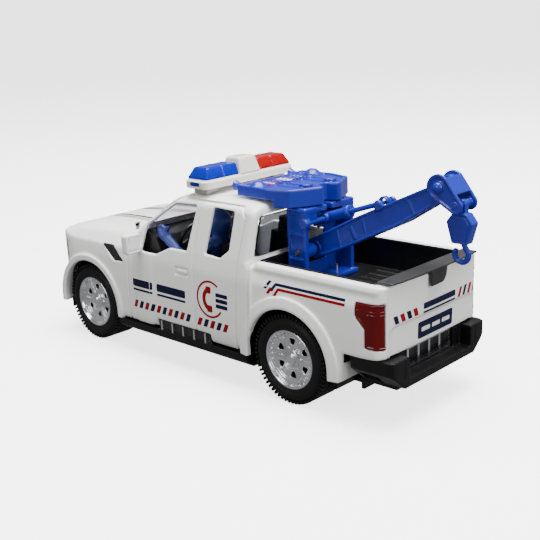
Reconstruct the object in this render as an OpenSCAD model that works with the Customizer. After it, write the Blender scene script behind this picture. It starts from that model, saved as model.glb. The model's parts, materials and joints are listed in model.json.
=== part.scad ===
// Toy tow truck: pickup body with a roof light bar, siren rack, bed crane and friction drive.
// Millimetres. The nose points to -Y, the driver's side to +X, and the wheels stand on z = 0.

/* [Body] */
// Half of the body's width at the sills
half_w = 43; // [38:0.5:52]
// Distance between the two axles
wheelbase = 154; // [146:1:186]
// Body ahead of the front axle
front_overhang = 34; // [32:0.5:42]
// Body behind the rear axle, to the tailgate's skin
rear_overhang = 54.5; // [50:0.5:66]
// Height of the roof at its middle
roof_z = 95.5; // [92:0.5:112]
// Height of the bed's side rails
rail_z = 67.2; // [64:0.5:78]
// Height of the lower edge of the doors
sill_z = 19; // [18.6:0.1:21]
// Wall of the moulded body
wall = 1.8; // [1.4:0.1:2.4]
// Width of the bed's top rail
rail_w = 4; // [3:0.1:6]
// Gap left between two pieces that are fitted together
seam = 0.15; // [0.1:0.01:0.25]

/* [Wheels] */
// Outside radius of a tyre
tyre_r = 22.5; // [20:0.1:25]
// Width of a tyre
tyre_w = 18; // [14:0.5:20]
// Radius of the rim that carries the tyre
rim_r = 14.2; // [11:0.1:16]
// Distance from the middle of the truck to a tyre's outer side
tyre_x = 41.4; // [38:0.1:50]
// Radius of the steel axles
axle_r = 1.5; // [1.2:0.05:2]
// Radial clearance of a turning fit
run_fit = 0.05; // [0.02:0.01:0.1]
// Room between a tyre and its arch
arch_gap = 2.8; // [2:0.1:5]

/* [Crane] */
// Half of the column's width
column_half_w = 18.8; // [16:0.1:22]
// Thickness of the column's two cheeks
cheek_t = 2.6; // [2:0.1:4]
// Depth of the column from front to back
column_d = 11.8; // [10:0.1:14]
// Top of the column
column_top_z = 90.6; // [88:0.1:98]
// Height of the boom's pivot
pivot_z = 68.1; // [66:0.1:74]
// Boom length from its pivot to the head's pin
boom_len = 81.5; // [68:0.5:98]
// Angle of the boom above level as stored
boom_tilt = 27.7; // [24:0.1:34]
// Half of the boom's width at its root
boom_root_half_w = 7; // [6:0.1:9]
// Half of the boom's width at its head
boom_tip_half_w = 5; // [4.4:0.1:6]
// Thickness of the boom's side plates
boom_t = 1.8; // [1.4:0.1:2.2]
// Radius of the crane's pivot pins
pin_r = 1.5; // [1.2:0.05:1.8]
// Outside radius of the ram's barrel
ram_r = 2.7; // [2.4:0.1:3.2]
// Radius of the ram's rod
rod_r = 1.3; // [1:0.05:1.5]

/* [Hook] */
// Width of the hook's weight from front to back
hook_w = 13.4; // [11:0.1:17]
// Thickness of the hook's weight
hook_t = 5.4; // [4.6:0.1:6.4]
// Radius to the middle of the hook's bend
bend_r = 3.4; // [3:0.1:4.2]
// Thickness of the hook's bent part
bend_t = 2.6; // [2.2:0.1:3]

/* [Lights] */
// Half of the light bar's length
bar_half_w = 33.5; // [28:0.5:38]
// Depth of the light bar from front to back
bar_d = 17; // [14:0.5:20]
// Height of the coloured lenses
lens_h = 6; // [5:0.1:8]
// Half of the siren rack's width
rack_half_w = 26; // [22:0.5:28]

/* [Friction drive] */
// Module of the drive's gear teeth
gear_m = 0.7; // [0.6:0.05:0.8]
// Teeth of the gear on the rear axle
axle_teeth = 24; // [20:1:26]
// Teeth of the two small pinions
pinion_teeth = 10; // [9:1:12]
// Teeth of the layshaft's large gear
lay_teeth = 22; // [18:1:24]
// Radius of the steel flywheel
flywheel_r = 8.5; // [7:0.1:9]

/* [Hidden] */
$fn = 48;

// Stations along the truck, before the whole is centred on its length
front_axle_y = -wheelbase / 2 - 12.5;
rear_axle_y = wheelbase / 2 - 12.5;
axle_z = tyre_r;
front_y = front_axle_y - front_overhang;
tail_y = rear_axle_y + rear_overhang;
cowl_y = front_axle_y + 43.5;
windshield_top_y = front_axle_y + 74;
cab_rear_y = rear_axle_y - 24;
hood_z = 72.5;
arch_r = tyre_r + arch_gap;
liner_wall = 1.5;
well_t = 1.4;
boss_r = 2.4;
bed_floor_z = axle_z + arch_r + well_t + liner_wall + 0.5;
bed_half_w = half_w - 4.5 - rail_w;
bed_front_y = cab_rear_y + 1.2;
bed_rear_y = tail_y - 7;
shell_split_y = cab_rear_y + 2.2;
nose_split_y = cowl_y - 6.5;
plate_z = 12;
plate_t = 2.2;
bumper_z = 33.5;

// Crane geometry
column_front_y = cab_rear_y + 5.9;
column_rear_y = column_front_y + column_d;
pivot_y = column_front_y + 6.1;
head_y = pivot_y + boom_len * cos(boom_tilt);
head_z = pivot_z + boom_len * sin(boom_tilt);
ram_pin_y = column_rear_y - 1.2;
ram_pin_z = pivot_z + 15.3;
rod_pin_u = 46.9;
rod_pin_v = 5.4;
rod_pin_y = pivot_y + rod_pin_u * cos(boom_tilt) - rod_pin_v * sin(boom_tilt);
rod_pin_z = pivot_z + rod_pin_u * sin(boom_tilt) + rod_pin_v * cos(boom_tilt);
ram_tilt = atan2(rod_pin_z - ram_pin_z, rod_pin_y - ram_pin_y);
ram_len = norm([rod_pin_y - ram_pin_y, rod_pin_z - ram_pin_z]);
tube_out = 15;
tube_back = 10;
hook_reach = 8.4;
hook_drop = 7.4;
hook_y = head_y + hook_reach;
hook_z = head_z - hook_drop;
neck_len = 11.4;
block_h = 13.8;

// The whole truck is centred on its length, from the nose to the back of the hook
centre_y = (front_y + hook_y + hook_w / 2) / 2;

// Gear centres, one mesh after the other, above and ahead of the rear axle
lay_dist = gear_m * (axle_teeth + pinion_teeth) / 2;
fly_dist = gear_m * (lay_teeth + pinion_teeth) / 2;
lay_angle = 12;
fly_angle = -6;
lay_y = rear_axle_y - lay_dist * cos(lay_angle);
lay_z = axle_z + lay_dist * sin(lay_angle);
fly_y = lay_y - fly_dist * cos(fly_angle);
fly_z = lay_z + fly_dist * sin(fly_angle);
lay_tip_r = gear_m * (lay_teeth / 2 + 0.92);
case_half_w = 12;
case_wall = 1.4;
gear_w = 3;
arbor_r = 1;

bar_y = front_axle_y + 86.5;
bar_z = roof_z + 1.5;
bar_h = 4.6;
bar_cover_half_w = 7.6;
rack_front_y = front_axle_y + 104;
rack_z = roof_z + 1.2;

// Fixed sizes of the detail
door_z = 57;

// ---------------------------------------------------------------- helpers
module both() { children(); mirror([1, 0, 0]) children(); }

// A rod along X between two stations
module rod_x(r, x0, x1, y, z) { translate([x0, y, z]) rotate([0, 90, 0]) cylinder(r = r, h = x1 - x0); }

// A 2D shape in the Y-Z plane, extruded from x0 to x1
module along_x(x0, x1) { translate([x0, 0, 0]) rotate([90, 0, 90]) linear_extrude(x1 - x0) children(); }

// A 2D shape in the X-Z plane, extruded from y0 to y1
module along_y(y0, y1) { translate([0, y1, 0]) rotate([90, 0, 0]) linear_extrude(y1 - y0) children(); }

// A box between two corners
module block(a, b) { translate(a) cube(b - a); }

// An outline given for x >= 0, closed by its mirror image
function sym(p) = concat(p, [for (i = [len(p) - 1:-1:0]) if (p[i][0] > 0) [-p[i][0], p[i][1]]]);

module rounded(r) { offset(r = r) offset(delta = -r) children(); }

// ---------------------------------------------------------------- body outline
module side_outline(drop = 0) {
    polygon([
        [front_y, bumper_z - drop], [front_y, 56], [front_y + 2.5, 60.5], [front_y + 9, 64.5],
        [front_axle_y - 12, 68], [front_axle_y + 12, 70.5], [cowl_y, hood_z],
        [windshield_top_y, roof_z - 2.4], [windshield_top_y + 6, roof_z - 0.6], [windshield_top_y + 16,
            roof_z],
        [cab_rear_y - 12, roof_z - 0.2], [cab_rear_y - 3, roof_z - 1.3], [cab_rear_y + 0.7, roof_z - 4],
        [cab_rear_y + 1.7, roof_z - 8], [cab_rear_y, rail_z], [tail_y + 1.5, rail_z], [tail_y + 1, 60],
        [tail_y, bumper_z - drop], [tail_y - 21, bumper_z - drop], [tail_y - 23, sill_z - drop],
        [front_axle_y - arch_r + 4 - 1.5 * drop, sill_z - drop],
            [front_axle_y - arch_r + 4 - 1.5 * drop, bumper_z - drop]]);
}

module plan_outline() {
    nose = 15;
    polygon(sym([
        [0, front_y], [half_w - nose, front_y],
        for (a = [9:9:90]) [half_w - nose + nose * sin(a), front_y + 27 * (1 - cos(a))],
        [half_w, tail_y - 16], [half_w - 2, tail_y - 8],
        for (a = [15:15:75]) [half_w - 8 + 6 * cos(a), tail_y - 6 + 6 * sin(a)],
        [half_w - 9, tail_y], [0, tail_y + 1.5]]));
}

module hood_section() {
    polygon(sym([[half_w, 0], [half_w, 42], [half_w - 0.6, 53], [half_w - 1.8, 60], [half_w - 7, 66.5],
        [half_w - 13, 69.5], [half_w - 24, 71.6], [0, hood_z]]));
}

module cab_section() {
    polygon(sym([[half_w, 0], [half_w, 38], [half_w - 0.9, door_z], [half_w - 2.3, 65.5],
        [half_w - 7.4, roof_z - 6],
        [half_w - 9.6, roof_z - 2.9], [half_w - 15, roof_z - 1.2], [0, roof_z]]));
}

module bed_section() {
    polygon(sym([[half_w - 1.5, 0], [half_w - 1.5, 42], [half_w - 2, door_z], [half_w - 3.6, rail_z - 2.2],
        [half_w - 4.5, rail_z], [0, rail_z]]));
}

// Everything under the cab's outer surface, for pieces that stand on it
module cab_surface_cut(gap = 0.05) { along_y(cowl_y, cab_rear_y) offset(delta = gap) cab_section(); }

// The body's solid form, shrunk by inset, and let down past its lower edge by drop
module body_form(inset = 0, drop = 0) {
    intersection() {
        along_x(-half_w, half_w) offset(delta = -inset) side_outline(drop);
        translate([0, 0, -5]) linear_extrude(roof_z + 10) offset(delta = -inset) plan_outline();
        union() {
            along_y(front_y, cowl_y + 12) offset(delta = -inset) hood_section();
            along_y(cowl_y - inset * 0.9, cab_rear_y + 3 - inset) offset(delta = -inset) cab_section();
            along_y(cab_rear_y - 6, tail_y + 2) offset(delta = -inset) bed_section();
        }
    }
}

// The side windows' outlines, in the Y-Z plane
module front_pane() {
    polygon([[cowl_y + 5.3, 60.9], [cowl_y + 17, 60.5], [cowl_y + 28, 65.4], [cowl_y + 41.5, 65.6],
        [cowl_y + 46.5, roof_z - 6], [windshield_top_y - 0.5, roof_z - 6.8], [cowl_y + 8, 74.8]]);
}

module rear_pane() {
    polygon([[cab_rear_y - 31.4, 66.2], [cab_rear_y - 20.5, 65.6], [cab_rear_y - 14.5, 70.3],
        [cab_rear_y - 12.9, roof_z - 6.2], [cab_rear_y - 27.8, roof_z - 6]]);
}

module windshield_pane() {
    polygon(sym([[half_w - 8, hood_z + 3.2], [half_w - 13.4, roof_z - 4.6]]));
}

module rear_pane_back() {
    polygon(sym([[half_w - 7, rail_z + 0.9], [half_w - 11, roof_z - 7.5]]));
}

module wheel_openings() {
    both() for (y = [front_axle_y, rear_axle_y]) rod_x(arch_r, half_w - 16, half_w + 6, y, axle_z);
}

// Chassis screws: across, along, and how far above the floor plate each sits
rear_lift = 4.2;
screw_places = [[18, front_axle_y - 19, 0], [24, tail_y - 4.6, rear_lift]];

module body_shell() {
    color("white") {
        difference() {
            union() {
                difference() {
                    union() {
                        body_form();
                        // Flare round each rear wheel
                        both() intersection() {
                            rod_x(arch_r + 6, half_w - 4, half_w + 0.6, rear_axle_y, axle_z);
                            block([0, rear_axle_y - 60, sill_z], [half_w + 2, rear_axle_y + 60, 90]);
                        }
                    }
                    body_form(wall, wall * 2 + 3);
                    block([-bed_half_w, bed_front_y, bed_floor_z - 10], [bed_half_w, bed_rear_y, rail_z + 5]);
                }
                // Bosses that take the chassis screws
                intersection() {
                    body_form();
                    both() for (p = screw_places) translate([p[0], p[1], plate_z + plate_t + 0.2 + p[2]])
                        cylinder(r = boss_r, h = 60);
                }
            }
            wheel_openings();
            both() for (p = screw_places) translate([p[0], p[1], 0]) cylinder(r = 0.9,
                h = plate_z + plate_t + 9 + p[2]);
            along_x(-half_w - 2, half_w + 2) rounded(1.2) front_pane();
            along_x(-half_w - 2, half_w + 2) rounded(1.2) rear_pane();
            along_y(cowl_y - 10, windshield_top_y + 12) rounded(2) windshield_pane();
            along_y(cab_rear_y - 8, cab_rear_y + 8) rounded(2) rear_pane_back();
            taillight_cut(0);
            both() headlight_cut(0);
            grille_cut();
            // Slot behind the front wheel and slits in the hood
            fender_vent_cut();
            hood_vent_cut();
            both() side_trim_cut();
        }
    }
}

// The moulding is made in three, joined at the doors' front edge and across the gap behind the cab
module nose_shell() {
    intersection() {
        body_shell();
        block([-half_w - 5, front_y - 5, -5], [half_w + 5, nose_split_y, roof_z + 5]);
    }
}

module cab_shell() {
    intersection() {
        body_shell();
        block([-half_w - 5, nose_split_y, -5], [half_w + 5, shell_split_y, roof_z + 5]);
    }
}

module bed_shell() {
    intersection() {
        body_shell();
        block([-half_w - 5, shell_split_y, -5], [half_w + 5, tail_y + 9, roof_z + 5]);
    }
}

// ---------------------------------------------------------------- glazing
module windshield() {
    color([0.85, 0.9, 0.95, 0.35]) intersection() {
        difference() { body_form(0.2, 0); body_form(1.4, 3); }
        along_y(cowl_y - 10, windshield_top_y + 12) offset(delta = -seam) rounded(2) windshield_pane();
    }
}

module rear_window() {
    color([0.85, 0.9, 0.95, 0.35]) intersection() {
        difference() { body_form(0.2, 0); body_form(1.4, 3); }
        along_y(cab_rear_y - 8, cab_rear_y + 8) offset(delta = -seam) rounded(2) rear_pane_back();
    }
}

// ---------------------------------------------------------------- lamps and small trim
module taillight_outline(g) {
    offset(delta = -g) polygon([[tail_y - 14.2, 59], [tail_y - 14.2, 52.8], [tail_y - 9, 47.5],
        [tail_y - 9, 38.6],
        [tail_y + 4, 37.6], [tail_y + 4, 59.4]]);
}

module taillight_cut(g) {
    both() along_x(half_w - 7.4 + g, half_w + 2) taillight_outline(g);
}

module taillight() {
    color("darkred") intersection() {
        difference() { body_form(0, 0); body_form(wall + 1.4, 6); }
        along_x(half_w - 7.4 + seam, half_w + 2) taillight_outline(seam);
    }
}

module headlight_outline(g) {
    offset(delta = -g) polygon([[half_w - 20, 45], [half_w + 2, 47], [half_w + 2, 57.5], [half_w - 16,
        57], [half_w - 21, 52]]);
}

module headlight_cut(g) {
    along_y(front_y - 2, front_y + 12) headlight_outline(g);
}

module headlight() {
    color([0.9, 0.93, 0.96, 0.6]) intersection() {
        difference() { body_form(0, 0); body_form(wall + 1.4, 6); }
        headlight_cut(seam);
    }
}

module grille_outline(g) {
    offset(delta = -g) polygon(sym([[half_w - 25, 36.5], [half_w - 22.4, 46], [half_w - 23.4, 58.2]]));
}

module grille_cut() { along_y(front_y - 2, front_y + 4) grille_outline(0); }

// Black grille with five raised bars and a back plate
module grille() {
    color([0.08, 0.08, 0.09]) {
        along_y(front_y + 1.9, front_y + 3.4) grille_outline(seam);
        along_y(front_y, front_y + 1.9) difference() {
            grille_outline(seam);
            offset(delta = -2) grille_outline(seam);
        }
        intersection() {
            along_y(front_y + 0.5, front_y + 1.9) offset(delta = -1.9) grille_outline(seam);
            union() {
                for (k = [0:2]) block([-30, front_y, 40.8 + 4.6 * k], [30, front_y + 2, 42.6 + 4.6 * k]);
                block([-1.5, front_y, 30], [1.5, front_y + 2, 60]);
            }
        }
    }
}

module fender_vent_outline(g) {
    offset(delta = -g) polygon([[front_axle_y + 14.6, 60], [front_axle_y + 23.6, 60.2],
        [front_axle_y + 33, 52.2], [front_axle_y + 24.3, 51.6]]);
}

module fender_vent_cut() { both() along_x(half_w - 4, half_w + 1) fender_vent_outline(0); }

module fender_vents() {
    color([0.08, 0.08, 0.09]) both() along_x(half_w - 3.6, half_w - 1.6) fender_vent_outline(seam);
}

module hood_vent_outline(g) {
    offset(delta = -g) polygon([[19, cowl_y - 22], [22, cowl_y - 23], [31, cowl_y - 10.5], [30,
        cowl_y - 9.5]]);
}

module hood_vent_cut() {
    translate([0, 0, hood_z - 10]) linear_extrude(20) both() hood_vent_outline(0);
}

module hood_vents() {
    color([0.08, 0.08, 0.09]) translate([0, 0,
        hood_z - 6.2]) linear_extrude(1.4) both() hood_vent_outline(seam);
}

trim_y = cowl_y + 16;
trim_len = 42;

module side_trim_cut() { block([half_w - 4, trim_y, sill_z - 2], [half_w + 1, trim_y + trim_len,
    sill_z + 5.6]); }

// A ribbed bright bar let into each sill
module side_trims() {
    color("silver") both() {
        block([half_w - 2.6, trim_y + seam, sill_z + 0.2], [half_w - 1.2, trim_y + trim_len - seam,
            sill_z + 5.6 - seam]);
        for (k = [0:4]) block([half_w - 1.2, trim_y + 3 + 8.6 * k, sill_z + 0.2],
            [half_w - 0.2, trim_y + 4.6 + 8.6 * k, sill_z + 5.6 - seam]);
    }
}

// ---------------------------------------------------------------- bumpers
step_half_w = 19.5;

module rear_bumper() {
    bottom = bumper_z - 14.8;
    color([0.12, 0.12, 0.13]) difference() {
        intersection() {
            block([-half_w, tail_y - 20, bottom], [half_w, tail_y + 4.5, bumper_z - 0.2]);
            along_y(tail_y - 22, tail_y + 6) polygon(sym([[half_w - 14.5, bottom], [half_w - 5.6,
                bottom + 7.6],
                [half_w - 4.4, bumper_z + 2]]));
            translate([0, 0, bottom - 1]) linear_extrude(20) polygon(sym([[half_w - 2, tail_y - 20],
                [half_w - 2, tail_y - 3], [half_w - 6, tail_y + 4], [half_w - 8, tail_y + 4.5], [0,
                    tail_y + 4.5]]));
        }
        // Step recess that shows the bright bars
        block([-step_half_w - 6, tail_y - 2, bottom + 4], [step_half_w + 6, tail_y + 6, bumper_z + 2]);
        block([-step_half_w, tail_y - 5, bottom + 4.4], [step_half_w, tail_y, bumper_z + 2]);
        // Hollow from inside
        block([-half_w + 9, tail_y - 18, bottom - 2], [half_w - 9, tail_y - 7, bumper_z + 2]);
        block([-27, tail_y - 22, bottom - 2], [27, tail_y - 10, bumper_z + 2]);
        // Clear of the body's screw bosses
        both() translate([screw_places[1][0], screw_places[1][1], 0]) cylinder(r = boss_r + 0.2, h = 60);
    }
}

module rear_trim() {
    color("silver") {
        block([-step_half_w + 0.5, tail_y - 5, bumper_z - 10.2], [step_half_w - 0.5, tail_y - 3.8,
            bumper_z - 0.4]);
        for (k = [-2:2]) block([8.6 * k - 0.8, tail_y - 3.8, bumper_z - 10.2], [8.6 * k + 0.8,
            tail_y - 2.4, bumper_z - 0.4]);
    }
}

module front_bumper() {
    bottom = plate_z + 1;
    color([0.12, 0.12, 0.13]) difference() {
        intersection() {
            block([-half_w, front_y, bottom], [half_w, front_axle_y - arch_r - well_t - 0.6, bumper_z - 0.2]);
            translate([0, 0, bottom - 1]) linear_extrude(30) offset(delta = -0.2) plan_outline();
            along_x(-half_w, half_w) polygon([[front_y, bottom + 5], [front_y + 3, bottom],
                [front_y + 30, bottom],
                [front_y + 30, 60], [front_y, 60]]);
        }
        block([-half_w + 10, front_y + 4.5, bottom - 1], [half_w - 10, front_y + 20, bumper_z + 2]);
        // Air intake and two fog lamp pockets
        block([-17, front_y - 1, bottom + 6], [17, front_y + 2.2, bottom + 13.5]);
        both() translate([24, front_y + 3, bottom + 11]) rotate([90, 0, 0]) cylinder(r = 3, h = 6);
    }
}

// ---------------------------------------------------------------- bed
module bed_liner() {
    color([0.1, 0.1, 0.11]) difference() {
        block([-bed_half_w + seam, bed_front_y + seam, bed_floor_z - liner_wall],
            [bed_half_w - seam, bed_rear_y - seam, rail_z - 0.1]);
        block([-bed_half_w + seam + liner_wall, bed_front_y + seam + liner_wall, bed_floor_z],
            [bed_half_w - seam - liner_wall, bed_rear_y - seam - liner_wall, rail_z + 1]);
        for (p = column_screws) translate([p[0], p[1], 0]) cylinder(r = 1.1, h = 100);
    }
}

module tailgate_cap() {
    color([0.14, 0.14, 0.15]) {
        intersection() {
            block([-half_w + 8.4, bed_rear_y + 0.2, rail_z + 0.05], [half_w - 8.4, tail_y + 5, rail_z + 1.2]);
            translate([0, 0, rail_z]) linear_extrude(2) polygon(sym([[half_w - 8.4, bed_rear_y],
                [half_w - 8.4, tail_y + 1.4], [half_w - 24, tail_y + 2.6], [0, tail_y + 3]]));
        }
        // Lens housing that hangs from the cap's middle
        along_y(tail_y + 1.6, tail_y + 3) polygon([[-6.5, rail_z + 0.1], [6.5, rail_z + 0.1], [6.2,
            rail_z - 6.8], [-3.6, rail_z - 6.4],
            [-5.8, rail_z - 3.6]]);
    }
}

// ---------------------------------------------------------------- chassis
well_x = tyre_x - tyre_w - 2.4;
board_front_y = front_axle_y + arch_r + 1.2;
board_slope = 5;
board_edge = 3.4;
board_rear_y = rear_axle_y - arch_r - 1;
door_half_w = 13;
door_y = cowl_y + 14;
door_len = 26;

// Liner inside a wheel arch, closed on the inner side
module wheel_well(y) {
    difference() {
        rod_x(arch_r + well_t, well_x, half_w - 7.6, y, axle_z);
        rod_x(arch_r, well_x + well_t, half_w + 5, y, axle_z);
        block([-1, y - 60, -20], [half_w + 5, y + 60, plate_z]);
        rod_x(axle_r + 0.6, well_x - 1, half_w, y, axle_z);
    }
}

module axle_post(x, y) {
    difference() {
        block([x - 1.8, y - 4.5, plate_z], [x + 1.8, y + 4.5, axle_z + 4]);
        rod_x(axle_r + run_fit, x - 3, x + 3, y, axle_z);
    }
}

module chassis() {
    color([0.1, 0.1, 0.11]) difference() {
        union() {
            // Floor, with running boards along the sills
            block([-well_x - 0.6, front_y + 5, plate_z], [well_x + 0.6, tail_y - 20, plate_z + plate_t]);
            // Ears under the rear bumper for the rear screws
            both() {
                block([18, tail_y - 21.6, plate_z], [27, tail_y - 20, plate_z + plate_t + rear_lift]);
                block([18, tail_y - 21.6, plate_z + rear_lift], [27, tail_y - 1.6,
                    plate_z + plate_t + rear_lift]);
            }
            block([-half_w + board_slope, board_front_y, plate_z], [half_w - board_slope, board_rear_y,
                plate_z + plate_t]);
            both() along_y(board_front_y, board_rear_y) polygon([[half_w - 8, plate_z],
                [half_w - board_slope, plate_z],
                [half_w, sill_z - board_edge], [half_w, sill_z - 0.2], [half_w - 8, sill_z - 0.2]]);
            both() block([half_w - 8, board_front_y + 2, plate_z], [half_w - 6.4, board_rear_y - 2,
                sill_z + 6]);
            both() for (y = [front_axle_y, rear_axle_y]) wheel_well(y);
            both() axle_post(18.5, front_axle_y);
            both() axle_post(18.5, rear_axle_y);
            // Walls of the battery bay
            difference() {
                block([-door_half_w - 2, door_y - 2, plate_z], [door_half_w + 2, door_y + door_len + 2,
                    plate_z + 8]);
                block([-door_half_w - 0.6, door_y - 0.6, plate_z - 1], [door_half_w + 0.6,
                    door_y + door_len + 0.6, plate_z + 9]);
            }
        }
        block([-door_half_w, door_y, plate_z - 1], [door_half_w, door_y + door_len, plate_z + 9]);
        both() for (p = screw_places) translate([p[0], p[1], p[2]]) {
            cylinder(r = 1.1, h = 40);
            cylinder(r = 2.2, h = plate_z + 1.1);
        }
        // Room for the friction drive
        block([-case_half_w - 0.3, case_front_y - 0.3, plate_z - 1], [case_half_w + 0.3,
            case_rear_y + 0.3, plate_z + 9]);
    }
}

module battery_door() {
    color([0.1, 0.1, 0.11]) {
        block([-door_half_w + seam, door_y + seam, plate_z], [door_half_w - seam,
            door_y + door_len - seam, plate_z + 1.4]);
        for (k = [0:4]) block([-8, door_y + 5 + 4 * k, plate_z - 0.5], [8, door_y + 6.4 + 4 * k, plate_z]);
    }
}

module sound_module() {
    color([0.2, 0.35, 0.25]) translate([0, 0, plate_z + 1.6]) {
        block([-12, door_y + 15.5, 0], [12, door_y + door_len - 0.6, 5]);
        translate([0, door_y + door_len / 2 + 7.2, 5]) cylinder(r = 4.6, h = 2.2);
    }
}

cell_r = 3.95;
cell_h = 3.6;

module button_cells() {
    color("silver") for (k = [-1:1]) translate([k * (2 * cell_r + 0.2), door_y + 8, plate_z + 1.5 + cell_r])
        rotate([90, 0, 0]) cylinder(r = cell_r, h = cell_h, center = true);
}

module screw(p, z) {
    translate([p[0], p[1], z]) {
        difference() {
            union() { cylinder(r = 0.9, h = 8); cylinder(r = 1.9, h = 1); }
            translate([-1.3, -0.25, -0.1]) cube([2.6, 0.5, 0.6]);
        }
    }
}

column_screws = [for (x = [-11, 11]) [x, pivot_y, 0]];

module screws() {
    color("silver") {
        both() for (p = screw_places) screw(p, plate_z + 0.1 + p[2]);
        for (p = column_screws) screw(p, bed_floor_z - liner_wall - 1);
    }
}

// ---------------------------------------------------------------- wheels
module tyre() {
    w = tyre_w / 2;
    color([0.07, 0.07, 0.07]) rotate([0, 90, 0]) rotate_extrude() difference() {
        polygon([[rim_r, -w + 2.2], [rim_r + 0.6, -w + 0.8], [rim_r + 2.4, -w + 0.1], [tyre_r - 3.4,
            -w], [tyre_r - 1.2, -w + 0.9],
            [tyre_r - 0.3, -w + 2.2], [tyre_r, -w + 3.6], [tyre_r, w - 3.6], [tyre_r - 0.3, w - 2.2],
                [tyre_r - 1.2, w - 0.9],
            [tyre_r - 3.4, w], [rim_r + 2.4, w - 0.1], [rim_r + 0.6, w - 0.8], [rim_r, w - 2.2]]);
        for (x = [-3.4, 3.4]) translate([tyre_r - 0.9, x - 0.45]) square([2, 0.9]);
    }
}

// Bright rim: stepped barrel, six spokes and a hub, outer side towards +X
module rim() {
    w = tyre_w / 2;
    color("silver") difference() {
        union() {
            rotate([0, 90, 0]) rotate_extrude() polygon([[rim_r - 1.4, -w + 1.5], [rim_r, -w + 1.5],
                [rim_r, w - 0.4],
                [rim_r - 0.8, w - 0.4], [rim_r - 0.8, w - 2], [rim_r - 2, w - 3.2], [rim_r - 1.4, w - 6]]);
            for (k = [0:5]) rotate([60 * k, 0, 0]) translate([w - 5.6, -1.9, 0]) cube([2.6, 3.8,
                rim_r - 1.2]);
            rod_x(5, w - 8.5, w - 2.6, 0, 0);
            rod_x(3.2, -w + 3, w - 7, 0, 0);
            for (k = [0:5]) rotate([60 * k + 30, 0, 0]) rod_x(0.7, w - 3, w - 2, 0, 3.6);
        }
        rod_x(axle_r, -w, w - 4, 0, 0);
    }
}

module wheel_place(side, y) {
    translate([0, y, axle_z]) mirror([side < 0 ? 1 : 0, 0, 0]) translate([tyre_x - tyre_w / 2, 0,
        0]) children();
}

module axle(y) {
    color("silver") rod_x(axle_r, -(tyre_x - 4), tyre_x - 4, y, axle_z);
}

// ---------------------------------------------------------------- friction drive
// Involute spur gear outline with the given tooth count, thinned by the backlash
function inv_pt(rb, t) = [rb * (cos(t) + t * PI / 180 * sin(t)), rb * (sin(t) - t * PI / 180 * cos(t))];
function spin(p, a) = [p[0] * cos(a) - p[1] * sin(a), p[0] * sin(a) + p[1] * cos(a)];

module gear_2d(teeth, backlash = 0.16) {
    rp = gear_m * teeth / 2;
    rb = rp * cos(20);
    ra = rp + gear_m * 0.92;
    rr = rp - gear_m * 1.25;
    t_out = sqrt(pow(ra / rb, 2) - 1) * 180 / PI;
    t_pitch = sqrt(pow(rp / rb, 2) - 1) * 180 / PI;
    a_pitch = t_pitch - atan(t_pitch * PI / 180);
    half = 90 / teeth - backlash / 2 / rp * 180 / PI;
    flank = [for (k = [0:4]) spin(inv_pt(rb, t_out * k / 4), -half - a_pitch)];
    root = spin([rr, 0], -half - a_pitch);
    polygon([for (i = [0:teeth - 1]) let (a = 360 / teeth * i)
        each concat([spin(root, a)], [for (p = flank) spin(p, a)],
            [for (k = [4:-1:0]) spin([flank[k][0], -flank[k][1]], a)], [spin([root[0], -root[1]], a)])]);
}

// A gear along X, turned by phase degrees about its own axis
module gear(teeth, x0, w, y, z, phase) {
    translate([x0, y, z]) rotate([phase, 0, 0]) rotate([90, 0, 90]) linear_extrude(w) gear_2d(teeth);
}

// Turn that puts a gap of the driven gear against the driver's tooth along the centre line
mesh_lay = 180 - lay_angle;
mesh_fly = 180 - fly_angle;

module axle_gear() {
    color("ivory") difference() {
        union() {
            gear(axle_teeth, 1, gear_w, rear_axle_y, axle_z, mesh_lay);
            rod_x(3, -4.6, 1.2, rear_axle_y, axle_z);
        }
        rod_x(axle_r, -10, 10, rear_axle_y, axle_z);
    }
}

module layshaft() {
    color("ivory") {
        gear(pinion_teeth, 0.6, 3.8, lay_y, lay_z, mesh_lay + 180 + 180 / pinion_teeth);
        gear(lay_teeth, -3.2, gear_w, lay_y, lay_z, mesh_fly);
        rod_x(1.6, -4.4, 0.8, lay_y, lay_z);
        rod_x(arbor_r, -case_half_w + 1, case_half_w - 1, lay_y, lay_z);
    }
}

module flywheel() {
    color("silver") {
        gear(pinion_teeth, -3.8, 4.2, fly_y, fly_z, mesh_fly + 180 + 180 / pinion_teeth);
        rod_x(arbor_r, -case_half_w + 1, case_half_w - 1, fly_y, fly_z);
        rod_x(flywheel_r, 4.6, 9.4, fly_y, fly_z);
        rod_x(2, 0.2, 4.8, fly_y, fly_z);
    }
}

case_front_y = fly_y - flywheel_r - 2.6;
axle_tip_r = gear_m * (axle_teeth / 2 + 0.92);
case_rear_y = rear_axle_y + axle_tip_r + case_wall + 0.6;
case_low_z = axle_z - axle_tip_r - case_wall - 0.2;
case_high_z = fly_z + flywheel_r + 2.4;
case_gear_z = lay_z + lay_tip_r + 2.2;

module motor_case() {
    difference() {
        union() {
            block([-case_half_w, case_front_y, case_low_z], [case_half_w, lay_y + 3, case_high_z]);
            block([-case_half_w, lay_y - lay_tip_r - 2.2, case_low_z], [case_half_w, case_rear_y,
                case_gear_z]);
        }
        block([-case_half_w + case_wall, case_front_y + case_wall, case_low_z + case_wall],
            [case_half_w - case_wall, lay_y + 3 - case_wall, case_high_z - case_wall]);
        block([-case_half_w + case_wall, lay_y - lay_tip_r - 2.2 + case_wall, case_low_z + case_wall],
            [case_half_w - case_wall, case_rear_y - case_wall, case_gear_z - case_wall]);
        rod_x(axle_r + run_fit, -20, 20, rear_axle_y, axle_z);
        rod_x(arbor_r + run_fit, -20, 20, lay_y, lay_z);
        rod_x(arbor_r + run_fit, -20, 20, fly_y, fly_z);
    }
}

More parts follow.
